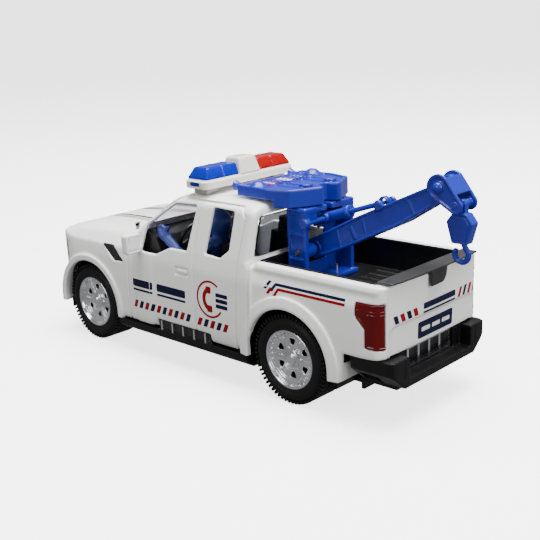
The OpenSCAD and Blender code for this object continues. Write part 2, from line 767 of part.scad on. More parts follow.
module motor_half(side) {
    color([0.2, 0.2, 0.22]) intersection() {
        motor_case();
        mirror([side < 0 ? 1 : 0, 0, 0]) block([0.01, case_front_y - 1, 0], [case_half_w + 1,
            case_rear_y + 1, 100]);
    }
}

// ---------------------------------------------------------------- cab
module seat(x, y) {
    block([x - 11, y - 12, 40], [x + 11, y + 3, 48]);
    translate([x, y, 46]) rotate([-10, 0, 0]) {
        block([-10.5, 0, 0], [10.5, 4.5, 24]);
        block([-5.5, 0.3, 23], [5.5, 4, 31]);
    }
}

module cab_interior() {
    color([0.09, 0.09, 0.1]) {
        difference() {
            block([-half_w + 6, cowl_y + 2, 36], [half_w - 6, cab_rear_y - 3, 40.2]);
            both() rod_x(arch_r + well_t + 0.8, half_w - 22, half_w, rear_axle_y, axle_z);
        }
        // Dashboard
        along_x(-half_w + 6.5, half_w - 6.5) polygon([[cowl_y + 2, 40], [cowl_y + 15, 40],
            [cowl_y + 16, 62], [cowl_y + 13, 68],
            [cowl_y + 5, 71.2], [cowl_y + 2, 71]]);
        both() seat(18, cowl_y + 52);
        // Rear bench
        block([-half_w + 9, cab_rear_y - 17, 40], [half_w - 9, cab_rear_y - 3.4, 50]);
        block([-half_w + 9, cab_rear_y - 6.4, 49], [half_w - 9, cab_rear_y - 2.6, 66]);
    }
}

module steering_wheel() {
    color([0.09, 0.09, 0.1]) translate([18, cowl_y + 21, 66]) rotate([68, 0, 0]) {
        rotate_extrude() translate([8, 0]) circle(r = 1.1, $fn = 16);
        for (a = [90, 210, 330]) rotate([0, 0, a]) translate([0, -1, -0.7]) cube([7.6, 2, 1.4]);
        cylinder(r = 2.4, h = 2, center = true);
        translate([0, 0, -6.2]) cylinder(r = 1.3, h = 6);
    }
}

// Seated figure, moulded in one piece
module driver() {
    y = cowl_y + 48;
    arm_r = 2.8;
    hand_r = 3.4;
    color([0.1, 0.2, 0.55]) {
        translate([18, y - 1, 48.4]) {
            hull() {
                block([-8.5, -8, 0], [8.5, 1, 6]);
                block([-10, -7, 19], [10, 1.5, 21.5]);
            }
            hull() {
                block([-6, -6, 20], [6, 1, 22]);
                translate([0, -3, 29]) sphere(r = 7.6, $fn = 32);
            }
            // Right hand on the wheel
            hull() { translate([-10, -3, 17.5]) sphere(r = 3, $fn = 24); translate([-12.2, -10,
                9]) sphere(r = arm_r, $fn = 24); }
            hull() { translate([-12.2, -10, 9]) sphere(r = arm_r, $fn = 24); translate([-9.4, -22,
                14]) sphere(r = 2.2, $fn = 24); }
            // Left hand raised at the window
            hull() { translate([10, -3, 17.5]) sphere(r = 3, $fn = 24); translate([14.2, -18,
                10]) sphere(r = arm_r, $fn = 24); }
            hull() {
                translate([14.2, -18, 10]) sphere(r = arm_r, $fn = 24);
                translate([15.4, -32.5, 23.4]) sphere(r = hand_r, $fn = 24);
            }
        }
    }
}

module mirror_body() {
    color("white") {
        difference() {
            translate([half_w + 4.9, cowl_y + 5.5, 66.2]) hull() {
                both() for (z = [-1, 1]) translate([3.2, 0, 3.8 * z]) rotate([90, 0,
                    0]) cylinder(r = 1.6, h = 5, center = true, $fn = 24);
            }
            block([half_w + 1.4, cowl_y + 7.2, 62.6], [half_w + 8.4, cowl_y + 9, 69.8]);
        }
        difference() {
            block([half_w - 3, cowl_y + 3.6, 61.4], [half_w + 2.4, cowl_y + 6.6, 63.8]);
            cab_surface_cut();
        }
    }
}

// ---------------------------------------------------------------- light bar
module bar_outline() {
    r = 4.5;
    y = bar_d / 2;
    translate([0, bar_y]) hull() both() for (s = [-1, 1]) translate([bar_half_w - r,
        s * (y - r)]) circle(r = r, $fn = 32);
}

module lightbar_base() {
    color("ivory") {
        translate([0, 0, bar_z]) linear_extrude(bar_h) bar_outline();
        difference() {
            both() translate([bar_half_w - 13, bar_y - 5, roof_z - 3]) cube([9, 10, bar_z - roof_z + 3.2]);
            cab_surface_cut();
        }
    }
}

module lightbar_cover() {
    color("white") translate([0, 0, bar_z + bar_h]) hull() {
        block([-bar_cover_half_w, bar_y - bar_d / 2 + 1, 0], [bar_cover_half_w, bar_y + bar_d / 2 - 0.6, 1]);
        block([-bar_cover_half_w + 1.6, bar_y - bar_d / 2 + 4, 0], [bar_cover_half_w - 1.6,
            bar_y + bar_d / 2 - 3, lens_h + 2.2]);
    }
}

// A lens: clear coloured shell with slanted ends and a stepped roof
module lens_form(g) {
    low = bar_z + bar_h;
    x0 = bar_cover_half_w + 0.3 + g;
    x1 = bar_half_w - 2 - g;
    hull() {
        block([x0, bar_y - bar_d / 2 + 1.4 + g, low], [x1, bar_y + bar_d / 2 - 1.4 - g, low + 1]);
        block([x0, bar_y - bar_d / 2 + 3.4 + g, low], [x1 - 1.6, bar_y + bar_d / 2 - 3 - g,
            low + lens_h - g]);
    }
}

module lens() {
    difference() {
        lens_form(0);
        translate([0, 0, -0.2]) lens_form(1.1);
    }
}

module light_board() {
    low = bar_z + bar_h;
    color([0.8, 0.8, 0.82]) both() {
        block([bar_cover_half_w + 3, bar_y - 3.6, low], [bar_half_w - 6, bar_y + 3.6, low + 1]);
        for (k = [0:2]) translate([bar_cover_half_w + 6.4 + 5.4 * k, bar_y,
            low + 0.9]) cylinder(r = 1.5, h = 2.6);
    }
}

// ---------------------------------------------------------------- siren rack
rack_neck_y = cab_rear_y + 11.3;
rack_tip_y = cab_rear_y + 19.1;
rack_h = 3.4;
dome_x = 20.6;

module rack_plan() {
    polygon(sym([[0, rack_front_y + 5], [rack_half_w - 9, rack_front_y + 5], [rack_half_w - 1,
        rack_front_y + 4],
        [rack_half_w, cab_rear_y - 1], [rack_half_w - 3.4, rack_neck_y], [7, rack_tip_y], [5.2,
            rack_tip_y - 0.4],
        [3.2, rack_tip_y - 6], [0, rack_tip_y - 6.6]]));
}

// Blue deck over the back of the roof, with side skirts, two horns and two rear bosses
module roof_rack() {
    color([0.1, 0.15, 0.6]) {
        difference() {
            translate([0, 0, roof_z - 5]) linear_extrude(5 + 1.2 + rack_h) rack_plan();
            translate([0, 0, roof_z - 12]) linear_extrude(12 + 1.2) intersection() {
                offset(delta = -1.6) rack_plan();
                translate([-60, -100]) square([120, cab_rear_y + 101.5]);
            }
            along_y(rack_front_y - 5, cab_rear_y + 2.6) offset(delta = 0.3) cab_section();
            block([-50, cab_rear_y - 1, roof_z - 12], [50, cab_rear_y + 3, roof_z - 4]);
            // Clear of the column's top
            block([-50, column_front_y - 3, column_top_z - 20], [50, column_rear_y + 10, column_top_z + 0.6]);
            // Seats of the two domes
            both() translate([dome_x, rack_front_y + 15, rack_z + rack_h - 0.6]) cylinder(r = 5.2, h = 5);
            // Sunken panel in the deck
            translate([0, 0, rack_z + rack_h - 0.6]) linear_extrude(3) offset(delta = -2.4) rack_plan();
        }
        both() {
            horn();
            translate([9, rack_tip_y - 8.6, rack_z + rack_h - 1]) cylinder(r = 3.4, h = 2.2);
        }
        // Stem that stands the deck on the roof
        difference() {
            both() translate([13, rack_front_y + 12, roof_z - 1.2]) cylinder(r = 3, h = 2.6);
            cab_surface_cut();
        }
    }
}

module horn() {
    translate([20.6, rack_front_y - 0.6, rack_z + 1.9]) rotate([-90, 0,
        0]) rotate_extrude(angle = 360) polygon([[0, 1.4], [1.6, 0.2], [2.4, 0],
        [2.5, 0.6], [2, 2.6], [1.3, 5], [0.9, 8], [0.9, 12], [0, 12]]);
}

module rack_domes() {
    color([0.1, 0.15, 0.6]) both() translate([dome_x, rack_front_y + 15, rack_z + rack_h - 0.6])
        rotate_extrude() intersection() {
            translate([0, -2.2]) circle(r = 5.2, $fn = 64);
            square([6, 4]);
        }
}

// ---------------------------------------------------------------- crane
module crane_column() {
    inner = column_half_w - cheek_t;
    color([0.1, 0.15, 0.6]) difference() {
        union() {
            // Foot plate on the bed's floor
            block([-column_half_w - 1.4, column_front_y - 0.6, bed_floor_z + 0.05],
                [column_half_w + 1.4, column_rear_y + 1.6, bed_floor_z + 2.4]);
            both() block([inner, column_front_y, bed_floor_z + 2], [column_half_w, column_rear_y,
                column_top_z]);
            // Lintel in two halves with a slot between them
            both() block([1.7, column_front_y, column_top_z - 3], [column_half_w, column_rear_y,
                column_top_z]);
            both() block([9.4, column_rear_y - 1.8, column_top_z - 7.4], [column_half_w, column_rear_y,
                column_top_z]);
            // Front wall, tying the two cheeks
            block([-column_half_w, column_front_y, bed_floor_z + 2], [column_half_w,
                column_front_y + 1.6, column_top_z - 1]);
            // Bosses for the boom's pin
            both() rod_x(3.4, boom_root_half_w + boom_gap, inner + 0.5, pivot_y, pivot_z);
            // Bosses for the ram's trunnions
            both() rod_x(2.4, inner - 1, column_half_w + 0.4, ram_pin_y, ram_pin_z);
            for (p = column_screws) translate([p[0], p[1], bed_floor_z + 1]) cylinder(r = 2.4, h = 8);
        }
        // Sunken panels in the outer sides
        both() for (z = [[bed_floor_z + 4, pivot_z - 4], [pivot_z - 2.2, pivot_z + 8.4],
            [pivot_z + 10.2, column_top_z - 2.4]])
            block([column_half_w - 0.7, column_front_y + 1.6, z[0]], [column_half_w + 2,
                column_rear_y - 2.6, z[1]]);
        rod_x(pin_r + press_fit, -column_half_w - 5, column_half_w + 5, pivot_y, pivot_z);
        // The boom's root swings through here
        block([-boom_root_half_w - 1, column_front_y - 1, pivot_z - 8], [boom_root_half_w + 1,
            column_front_y + 3, pivot_z + 8]);
        rod_x(pin_r + run_fit, -column_half_w - 5, column_half_w + 5, ram_pin_y, ram_pin_z);
        // The ram's barrel swings through here
        block([-ram_r - 0.5, column_front_y - 1, ram_pin_z - 16], [ram_r + 0.5, column_front_y + 3,
            ram_pin_z + 3.4]);
        for (p = column_screws) translate([p[0], p[1], bed_floor_z - 1]) cylinder(r = 0.9, h = 8.6);
    }
}

module boom_pin() {
    color("silver") rod_x(pin_r, -column_half_w + 0.2, column_half_w - 0.2, pivot_y, pivot_z);
}

boom_gap = 0.4;

// Place a shape drawn along the boom: its local Y runs to the head, its local Z is up
module on_boom() { translate([0, pivot_y, pivot_z]) rotate([boom_tilt, 0, 0]) children(); }

module boom_outline() {
    polygon([[-3, -4.6], [18, -6.3], [boom_len - 28, -7.6], [boom_len - 2, -5.8], [boom_len + 3, -2],
        [boom_len + 3, 2],
        [boom_len - 5, 2.4], [33, 4.8], [-1.6, 5.2], [-3, 4]]);
}

// The boom seen from above, tapering to a parallel end; inset gives the channel inside
module boom_plan(inset) {
    polygon(sym([[boom_root_half_w - inset, -12], [boom_tip_half_w - inset, boom_len - 9],
        [boom_tip_half_w - inset, boom_len + 10]]));
}

module boom() {
    color([0.1, 0.15, 0.6]) on_boom() difference() {
        union() {
            intersection() {
                along_x(-20, 20) union() { boom_outline(); circle(r = 4.6); translate([boom_len,
                    0]) circle(r = 4.2); }
                difference() {
                    linear_extrude(40, center = true) boom_plan(0);
                    // Channel between the plates, open upwards
                    difference() {
                        linear_extrude(50, center = true) boom_plan(boom_t);
                        along_x(-10, 10) polygon([[-6, -20], [boom_len - 26, -20], [boom_len - 26,
                            -5.4], [20, -4.4], [-6, -3]]);
                    }
                }
            }
            // Cross rib and the bridge that carries the ram's pin
            block([-boom_root_half_w + 1, 26, -5], [boom_root_half_w - 1, 27.6, 1.6]);
            block([-boom_tip_half_w, 62, -6], [boom_tip_half_w, 63.4, 2]);
            rod_x(rod_pin_r, -boom_root_half_w + 0.5, boom_root_half_w - 0.5, rod_pin_u, rod_pin_v);
            both() rod_x(2.6, boom_tip_half_w - 0.9, boom_root_half_w - 0.6, rod_pin_u, rod_pin_v - 0.6);
            both() rod_x(4.2, 0.3 + neck_half, boom_tip_half_w, boom_len, 0);
        }
        rod_x(pin_r + run_fit, -20, 20, 0, 0);
        rod_x(pin_r + press_fit, -20, 20, boom_len, 0);
    }
}

rod_pin_r = 1;
neck_half = 1.6;

module on_ram() { translate([0, ram_pin_y, ram_pin_z]) rotate([ram_tilt, 0, 0]) children(); }

// Barrel with its own trunnions
module ram_tube() {
    color([0.1, 0.15, 0.6]) on_ram() difference() {
        union() {
            translate([0, -tube_back, 0]) rotate([-90, 0, 0]) cylinder(r = ram_r, h = tube_back + tube_out);
            translate([0, tube_out - 2.4, 0]) rotate([-90, 0, 0]) cylinder(r = ram_r + 0.6, h = 2.4);
            rod_x(pin_r, -column_half_w + 0.3, column_half_w - 0.3, 0, 0);
            both() rod_x(2.6, ram_r - 1.2, 4.2, 0, 0);
        }
        translate([0, -tube_back + 1.4, 0]) rotate([-90, 0, 0]) cylinder(r = rod_r + run_fit, h = 60);
    }
}

// Rod with an eye that goes round the boom's pin with room to spare
module ram_rod() {
    color([0.1, 0.15, 0.6]) on_ram() difference() {
        union() {
            translate([0, -tube_back + 8, 0]) rotate([-90, 0, 0]) cylinder(r = rod_r,
                h = ram_len + tube_back - 10);
            rod_x(eye_r, -1.5, 1.5, ram_len, 0);
        }
        rod_x(eye_bore_r, -5, 5, ram_len, 0);
    }
}

eye_bore_r = 2.1;
eye_r = 3.1;

// Two cheeks on the head's pin, with a roof between them and a fork for the hook
module boom_head() {
    w = boom_tip_half_w + 0.3;
    t = 1.5;
    color([0.1, 0.15, 0.6]) translate([0, head_y, head_z]) difference() {
        union() {
            both() along_x(w, w + t) hull() {
                circle(r = 5.9);
                translate([hook_reach, -hook_drop]) circle(r = 3.6);
            }
            // Roof plate that ties the cheeks above and behind the boom's end
            along_x(-w - 0.5, w + 0.5) difference() {
                hull() { circle(r = 5.9); translate([hook_reach, -hook_drop]) circle(r = 3.6); }
                hull() { circle(r = 4.7); translate([hook_reach, -hook_drop]) circle(r = 2.3); }
                rotate(-41.5) translate([-20, -40]) square([60, 41]);
                rotate(-41.5) translate([-20, -40]) square([19.5, 60]);
                rotate(-41.5) translate([8.2, -40]) square([30, 60]);
            }
            both() rod_x(1.9, neck_half + 0.3, w + 0.5, hook_reach, -hook_drop);
        }
        rod_x(pin_r + run_fit, -20, 20, 0, 0);
        rod_x(hook_pin_r + press_fit, -20, 20, hook_reach, -hook_drop);
    }
}

hook_pin_r = 1.1;
press_fit = 0.01;

module head_pin() {
    color([0.1, 0.15, 0.6]) {
        rod_x(pin_r, -boom_tip_half_w - 2.2, boom_tip_half_w + 2.2, head_y, head_z);
        both() rod_x(2.6, boom_tip_half_w + 2, boom_tip_half_w + 3, head_y, head_z);
    }
}

module hook_pin() {
    color([0.1, 0.15, 0.6]) rod_x(hook_pin_r, -boom_tip_half_w - 1.8, boom_tip_half_w + 1.8, hook_y, hook_z);
}

// Neck, six-sided weight and the bent hook, moulded as one
module tow_hook() {
    top = -neck_len + 7.6;
    low = top - block_h;
    throat_z = low - bend_r - 1.8;
    color([0.1, 0.15, 0.6]) translate([0, hook_y, hook_z]) difference() {
        union() {
            along_x(-neck_half, neck_half) union() { circle(r = 2.3); translate([-2.3,
                top - 1]) square([4.6, -top + 1]); }
            along_x(-hook_t / 2, hook_t / 2) polygon([[-3.4, top], [3.4, top], [hook_w / 2, top - 4.2],
                [hook_w / 2 - 2.8, low],
                [-hook_w / 2 + 2.8, low], [-hook_w / 2, top - 4.2]]);
            // Shank and bend, open towards the cab
            translate([0, 0.6, low - 3]) cylinder(r = bend_t / 2, h = 4);
            translate([0, 0, throat_z]) rotate([0, 90, 0]) rotate([0, 0,
                90]) rotate_extrude(angle = 215, start = 145)
                translate([bend_r, 0]) circle(r = bend_t / 2, $fn = 32);
            translate([0, bend_r, throat_z]) cylinder(r = bend_t / 2, h = 1.4);
            hull() {
                translate([0, bend_r, throat_z + 1.2]) cylinder(r = bend_t / 2, h = 0.4, $fn = 32);
                translate([0, 0.6, low - 0.4]) cylinder(r = bend_t / 2, h = 0.4, $fn = 32);
            }
        }
        rod_x(hook_pin_r + run_fit, -10, 10, 0, 0);
    }
}

// ---------------------------------------------------------------- output
module put() { translate([0, -centre_y, 0]) children(); }

put() nose_shell();
put() cab_shell();
put() bed_shell();
put() chassis();
put() front_bumper();
put() rear_bumper();
put() bed_liner();
put() tailgate_cap();
put() windshield();
put() rear_window();
put() cab_interior();
put() steering_wheel();
put() driver();
put() mirror_body();  // mirror_left
put() mirror([1, 0, 0]) mirror_body();  // mirror_right
put() grille();
put() headlight();  // headlight_left
put() mirror([1, 0, 0]) headlight();  // headlight_right
put() taillight();  // taillight_left
put() mirror([1, 0, 0]) taillight();  // taillight_right
put() fender_vents();
put() hood_vents();
put() side_trims();
put() rear_trim();
put() lightbar_base();
put() lightbar_cover();
put() color([0.1, 0.35, 0.9, 0.5]) lens();  // lens_blue
put() color([0.85, 0.1, 0.1, 0.5]) mirror([1, 0, 0]) lens();  // lens_red
put() light_board();
put() roof_rack();
put() rack_domes();
put() crane_column();
put() boom();
put() boom_pin();
put() ram_tube();
put() ram_rod();
put() boom_head();
put() head_pin();
put() hook_pin();
put() tow_hook();
put() wheel_place(1, front_axle_y) tyre();  // tyre_front_left
put() wheel_place(-1, front_axle_y) tyre();  // tyre_front_right
put() wheel_place(1, rear_axle_y) tyre();  // tyre_rear_left
put() wheel_place(-1, rear_axle_y) tyre();  // tyre_rear_right
put() wheel_place(1, front_axle_y) rim();  // rim_front_left
put() wheel_place(-1, front_axle_y) rim();  // rim_front_right
put() wheel_place(1, rear_axle_y) rim();  // rim_rear_left
put() wheel_place(-1, rear_axle_y) rim();  // rim_rear_right
put() axle(front_axle_y);  // front_axle
put() axle(rear_axle_y);  // rear_axle
put() motor_half(1);  // motor_case_left
put() motor_half(-1);  // motor_case_right
put() axle_gear();
put() layshaft();
put() flywheel();
put() sound_module();
put() button_cells();
put() battery_door();
put() screws();
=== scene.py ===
"""Looks of a moulded toy tow truck, dressed round its packed mechanism.

Lengths are millimetres in the truck's own frame: the nose points to -Y, the driver's side to +X, and the tyres
stand on z = 0. Meshes are written in metres. Most moulded pieces are signed distance fields: a function that is
negative inside the plastic, whose zero surface becomes the mesh.
"""
import json
import logging
import math
from dataclasses import dataclass, field
from enum import Enum
from typing import Callable, Sequence

import bmesh
import bpy
import numpy as np
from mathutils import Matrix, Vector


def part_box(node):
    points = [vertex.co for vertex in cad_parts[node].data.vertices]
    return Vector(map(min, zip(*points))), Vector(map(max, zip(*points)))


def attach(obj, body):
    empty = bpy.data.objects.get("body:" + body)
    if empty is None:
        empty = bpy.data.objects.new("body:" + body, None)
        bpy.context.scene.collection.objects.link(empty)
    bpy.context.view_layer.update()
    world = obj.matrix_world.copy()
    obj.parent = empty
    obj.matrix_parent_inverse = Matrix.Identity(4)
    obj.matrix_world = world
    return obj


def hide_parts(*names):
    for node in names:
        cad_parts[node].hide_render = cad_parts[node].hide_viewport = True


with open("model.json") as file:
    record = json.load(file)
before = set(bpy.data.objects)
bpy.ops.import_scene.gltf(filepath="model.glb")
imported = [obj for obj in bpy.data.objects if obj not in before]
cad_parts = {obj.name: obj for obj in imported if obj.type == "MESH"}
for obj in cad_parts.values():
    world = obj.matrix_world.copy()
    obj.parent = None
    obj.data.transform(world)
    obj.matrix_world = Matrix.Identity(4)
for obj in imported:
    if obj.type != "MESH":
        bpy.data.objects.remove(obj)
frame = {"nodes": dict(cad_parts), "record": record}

import openvdb
from mathutils import Matrix, Vector

LOG = logging.getLogger("tow_truck")
MM = 0.001
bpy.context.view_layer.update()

Array = np.ndarray
Pair = tuple[float, float]
Triple = tuple[float, float, float]
Colour = tuple[float, float, float]


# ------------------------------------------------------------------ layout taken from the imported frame
def joint_place(name: str) -> Triple:
    """A joint's pivot in millimetres.

    Args:
        name: The joint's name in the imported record.

    Returns:
        The pivot's three coordinates.
    """
    joints = {j["name"]: j for j in frame["record"]["behaviour"]["joints"]}
    x, y, z = (v / MM for v in joints[name]["pos_m"])
    return x, y, z


def node_box(name: str) -> tuple[Triple, Triple]:
    """Lowest and highest corner of a CAD node, in millimetres."""
    low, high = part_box(name)
    return tuple(v / MM for v in low), tuple(v / MM for v in high)


@dataclass(frozen=True)
class Layout:
    """Stations of the truck that more than one piece shares."""

    front_axle_y: float = joint_place("front_axle_roll")[1]
    rear_axle_y: float = joint_place("rear_axle_roll")[1]
    axle_z: float = joint_place("rear_axle_roll")[2]
    half_w: float = 43.0
    roof_z: float = node_box("cab_shell")[1][2]
    rail_z: float = 67.2
    sill_z: float = 19.0
    bumper_z: float = 33.5
    hood_z: float = 72.5
    arch_r: float = 25.3
    wall: float = 1.8

    @property
    def nose_y(self) -> float:
        """Front face of the body."""
        return self.front_axle_y - 34

    @property
    def tail_y(self) -> float:
        """Skin of the tailgate at the bumper's top."""
        return self.rear_axle_y + 54.5

    @property
    def cowl_y(self) -> float:
        """Foot of the windshield."""
        return self.front_axle_y + 43.5

    @property
    def windshield_top_y(self) -> float:
        """Front edge of the roof."""
        return self.front_axle_y + 74

    @property
    def cab_rear_y(self) -> float:
        """Rear wall of the cab."""
        return self.rear_axle_y - 24


LAYOUT = Layout()


# ------------------------------------------------------------------ distance fields
def smooth_max(a: Array, b: Array, k: float | Array = 1.0) -> Array:
    """Intersection of two fields whose shared edge is rounded over about k."""
    blend = np.maximum(k - np.abs(a - b), 0.0) / k
    return np.maximum(a, b) + blend * blend * k * 0.25


def smooth_min(a: Array, b: Array, k: float | Array = 1.0) -> Array:
    """Union of two fields whose shared corner is filled over about k."""
    return -smooth_max(-a, -b, k)


def cut(a: Array, b: Array, k: float = 0.4) -> Array:
    """Field a with b taken away."""
    return smooth_max(a, -b, k)


def slab(v: Array, low: float, high: float) -> Array:
    """Distance to the space between two parallel planes."""
    return np.maximum(low - v, v - high)


def combine(a: Array, b: Array, r: float) -> Array:
    """Exact intersection of two perpendicular fields, with its edge rounded to radius r."""
    a, b = a + r, b + r
    return np.hypot(np.maximum(a, 0), np.maximum(b, 0)) + np.minimum(np.maximum(a, b), 0) - r


def box(x: Array, y: Array, z: Array, low: Triple, high: Triple, r: float = 0.4) -> Array:
    """A box between two corners with edges rounded to radius r."""
    flat = combine(slab(x, low[0], high[0]), slab(y, low[1], high[1]), r)
    return combine(flat, slab(z, low[2], high[2]), r)


def rod(u: Array, v: Array, w: Array, centre: Pair, radius: float, low: float, high: float,
        r: float = 0.3) -> Array:
    """A round rod along w, centred at (u, v), with rounded rims."""
    return combine(np.hypot(u - centre[0], v - centre[1]) - radius, slab(w, low, high), min(r, radius * 0.9))


def capsule(x: Array, y: Array, z: Array, a: Triple, b: Triple, ra: float, rb: float) -> Array:
    """A bar with round ends from a to b whose radius runs from ra to rb."""
    d = np.subtract(b, a)
    t = np.clip(((x - a[0]) * d[0] + (y - a[1]) * d[1] + (z - a[2]) * d[2]) / float(d @ d), 0, 1)
    gap = np.sqrt((x - a[0] - t * d[0]) ** 2 + (y - a[1] - t * d[1]) ** 2 + (z - a[2] - t * d[2]) ** 2)
    return gap - (ra + t * (rb - ra))


def stroke(u: Array, v: Array, path: Sequence[Pair]) -> Array:
    """Distance in the plane from an open path."""
    best = None
    for (u0, v0), (u1, v1) in zip(path, path[1:]):
        du, dv = u1 - u0, v1 - v0
        t = np.clip(((u - u0) * du + (v - v0) * dv) / (du * du + dv * dv), 0, 1)
        gap = np.hypot(u - u0 - t * du, v - v0 - t * dv)
        best = gap if best is None else np.minimum(best, gap)
    return best


def outline(u: Array, v: Array, points: Sequence[Pair]) -> Array:
    """Signed distance in the plane to a closed outline, negative inside."""
    gap, inside = None, False
    for (u0, v0), (u1, v1) in zip(points, [*points[1:], points[0]]):
        du, dv = u1 - u0, v1 - v0
        t = np.clip(((u - u0) * du + (v - v0) * dv) / max(du * du + dv * dv, 1e-9), 0, 1)
        here = (u - u0 - t * du) ** 2 + (v - v0 - t * dv) ** 2
        gap = here if gap is None else np.minimum(gap, here)
        if dv:
            crosses = ((v >= v0) != (v >= v1)) & (u < u0 + (v - v0) * du / dv)
            inside = inside ^ crosses
    return np.where(inside, -1.0, 1.0) * np.sqrt(gap)


def fillet(corners: Sequence[Triple], steps: int = 6) -> list[Pair]:
    """Rounds an outline's corners.

    Args:
        corners: (u, v, radius) of each corner, in order.
        steps: Segments of each arc.

    Returns:
        The outline's points, with an arc at each corner whose radius is above zero.
    """
    points: list[Pair] = []
    for i, (u, v, radius) in enumerate(corners):
        before = Vector(corners[i - 1][:2]) - Vector((u, v))
        after = Vector(corners[(i + 1) % len(corners)][:2]) - Vector((u, v))
        half = before.angle(after, math.pi) / 2
        if radius <= 0 or half > 1.55:
            points.append((u, v))
            continue
        back = min(radius / math.tan(half), 0.48 * before.length, 0.48 * after.length)
        start = Vector((u, v)) + before.normalized() * back
        end = Vector((u, v)) + after.normalized() * back
        for k in range(steps + 1):
            t = k / steps
            p = start * (1 - t) ** 2 + Vector((u, v)) * 2 * t * (1 - t) + end * t * t
            points.append((p.x, p.y))
    return points


def mirrored(half: Sequence[Triple]) -> list[Triple]:
    """Closes an outline drawn for u >= 0 with its mirror image."""
    return [*half, *[(-u, v, r) for u, v, r in reversed(half) if u > 0]]


Shape = Callable[[Array, Array, Array], Array]


@dataclass
class Moulding:
    """A moulded piece: a distance field sampled on a grid and skinned.

    Attributes:
        name: Name of the Blender object.
        shape: The field, in millimetres.
        low: Lowest corner of the grid.
        high: Highest corner of the grid.
        step: Grid spacing.
        symmetric: True samples only x > 0 and mirrors it.
        place: Turns local millimetres into the truck's frame.
    """

    name: str
    shape: Shape
    low: Triple
    high: Triple
    step: float = 0.4
    symmetric: bool = False
    place: Matrix | None = None
    values: Array = field(default=None, repr=False)
    origin: Array = field(default=None, repr=False)

    def sample(self) -> None:
        """Fills the grid with the field's values."""
        axes = []
        for low, high in zip(self.low, self.high):
            axes.append(np.arange(low - 2 * self.step, high + 2 * self.step, self.step, dtype=np.float32))
        if self.symmetric:
            count = int(math.ceil((self.high[0] + 2 * self.step) / self.step))
            axes[0] = ((np.arange(count) + 0.5) * self.step).astype(np.float32)
        x, y, z = np.ix_(*axes)
        full = tuple(len(a) for a in axes)
        values = np.broadcast_to(self.shape(x, y, z), full).astype(np.float32)
        if self.symmetric:
            values = np.concatenate([values[::-1], values])
            axes[0] = np.concatenate([-axes[0][::-1], axes[0]])
        self.values = values
        self.origin = np.array([a[0] for a in axes])

    def at(self, points: Array) -> Array:
        """Field values at points, read from the grid.

        Args:
            points: An n by 3 array in local millimetres.

        Returns:
            The n values.
        """
        place = (points - self.origin) / self.step
        top = np.array(self.values.shape) - 1.001
        place = np.clip(place, 0, top)
        base = place.astype(int)
        part = place - base
        total = np.zeros(len(points))
        for corner in np.ndindex(2, 2, 2):
            weight = np.prod(np.where(corner, part, 1 - part), axis=1)
            total += weight * self.values[tuple((base + corner).T)]
        return total

    def build(self, adaptivity: float = 0.004) -> bpy.types.Object:
        """Skins the field.

        Args:
            adaptivity: How readily flat stretches are merged into larger faces.

        Returns:
            The finished object, in metres, with normals taken from the field.
        """
        self.sample()
        band = 3 * self.step
        grid = openvdb.FloatGrid(band)
        grid.copyFromArray(np.clip(self.values, -band, band))
        points, triangles, quads = grid.convertToPolygons(0.0, adaptivity)
        points = points * self.step + self.origin
        e = 0.6 * self.step
        normals = np.stack([self.at(points + d) - self.at(points - d) for d in np.eye(3) * e], axis=1)
        normals /= np.maximum(np.linalg.norm(normals, axis=1, keepdims=True), 1e-9)
        loops = np.concatenate([triangles[:, ::-1].ravel(), quads[:, ::-1].ravel()])
        counts = np.concatenate([np.full(len(triangles), 3), np.full(len(quads), 4)])
        face = quads[len(quads) // 2] if len(quads) else triangles[0]
        across = np.cross(points[face[2]] - points[face[0]], points[face[-1]] - points[face[1]])
        if across @ normals[face[0]] > 0:
            loops = np.concatenate([triangles.ravel(), quads.ravel()])
        mesh = bpy.data.meshes.new(self.name)
        mesh.vertices.add(len(points))
        mesh.vertices.foreach_set("co", (points * MM).astype(np.float32).ravel())
        mesh.loops.add(len(loops))
        mesh.loops.foreach_set("vertex_index", loops.astype(np.int32))
        mesh.polygons.add(len(counts))
        mesh.polygons.foreach_set("loop_start", np.concatenate([[0],
            np.cumsum(counts)[:-1]]).astype(np.int32))
        mesh.update(calc_edges=True)
        if self.place is not None:
            turn = np.array(self.place.to_3x3())
            normals = normals @ turn.T
            matrix = self.place.copy()
            matrix.translation = matrix.translation * MM
            mesh.transform(matrix)
        mesh.polygons.foreach_set("use_smooth", np.ones(len(counts), bool))
        mesh.normals_split_custom_set_from_vertices(normals.astype(np.float32))
        mesh.validate()
        piece = bpy.data.objects.new(self.name, mesh)
        bpy.context.scene.collection.objects.link(piece)
        return piece


# ------------------------------------------------------------------ finishes
class Texture(Enum):
    """Where a finish's fine surface relief comes from."""

    MOULDED = "noise"
    BRUSHED = "wave"


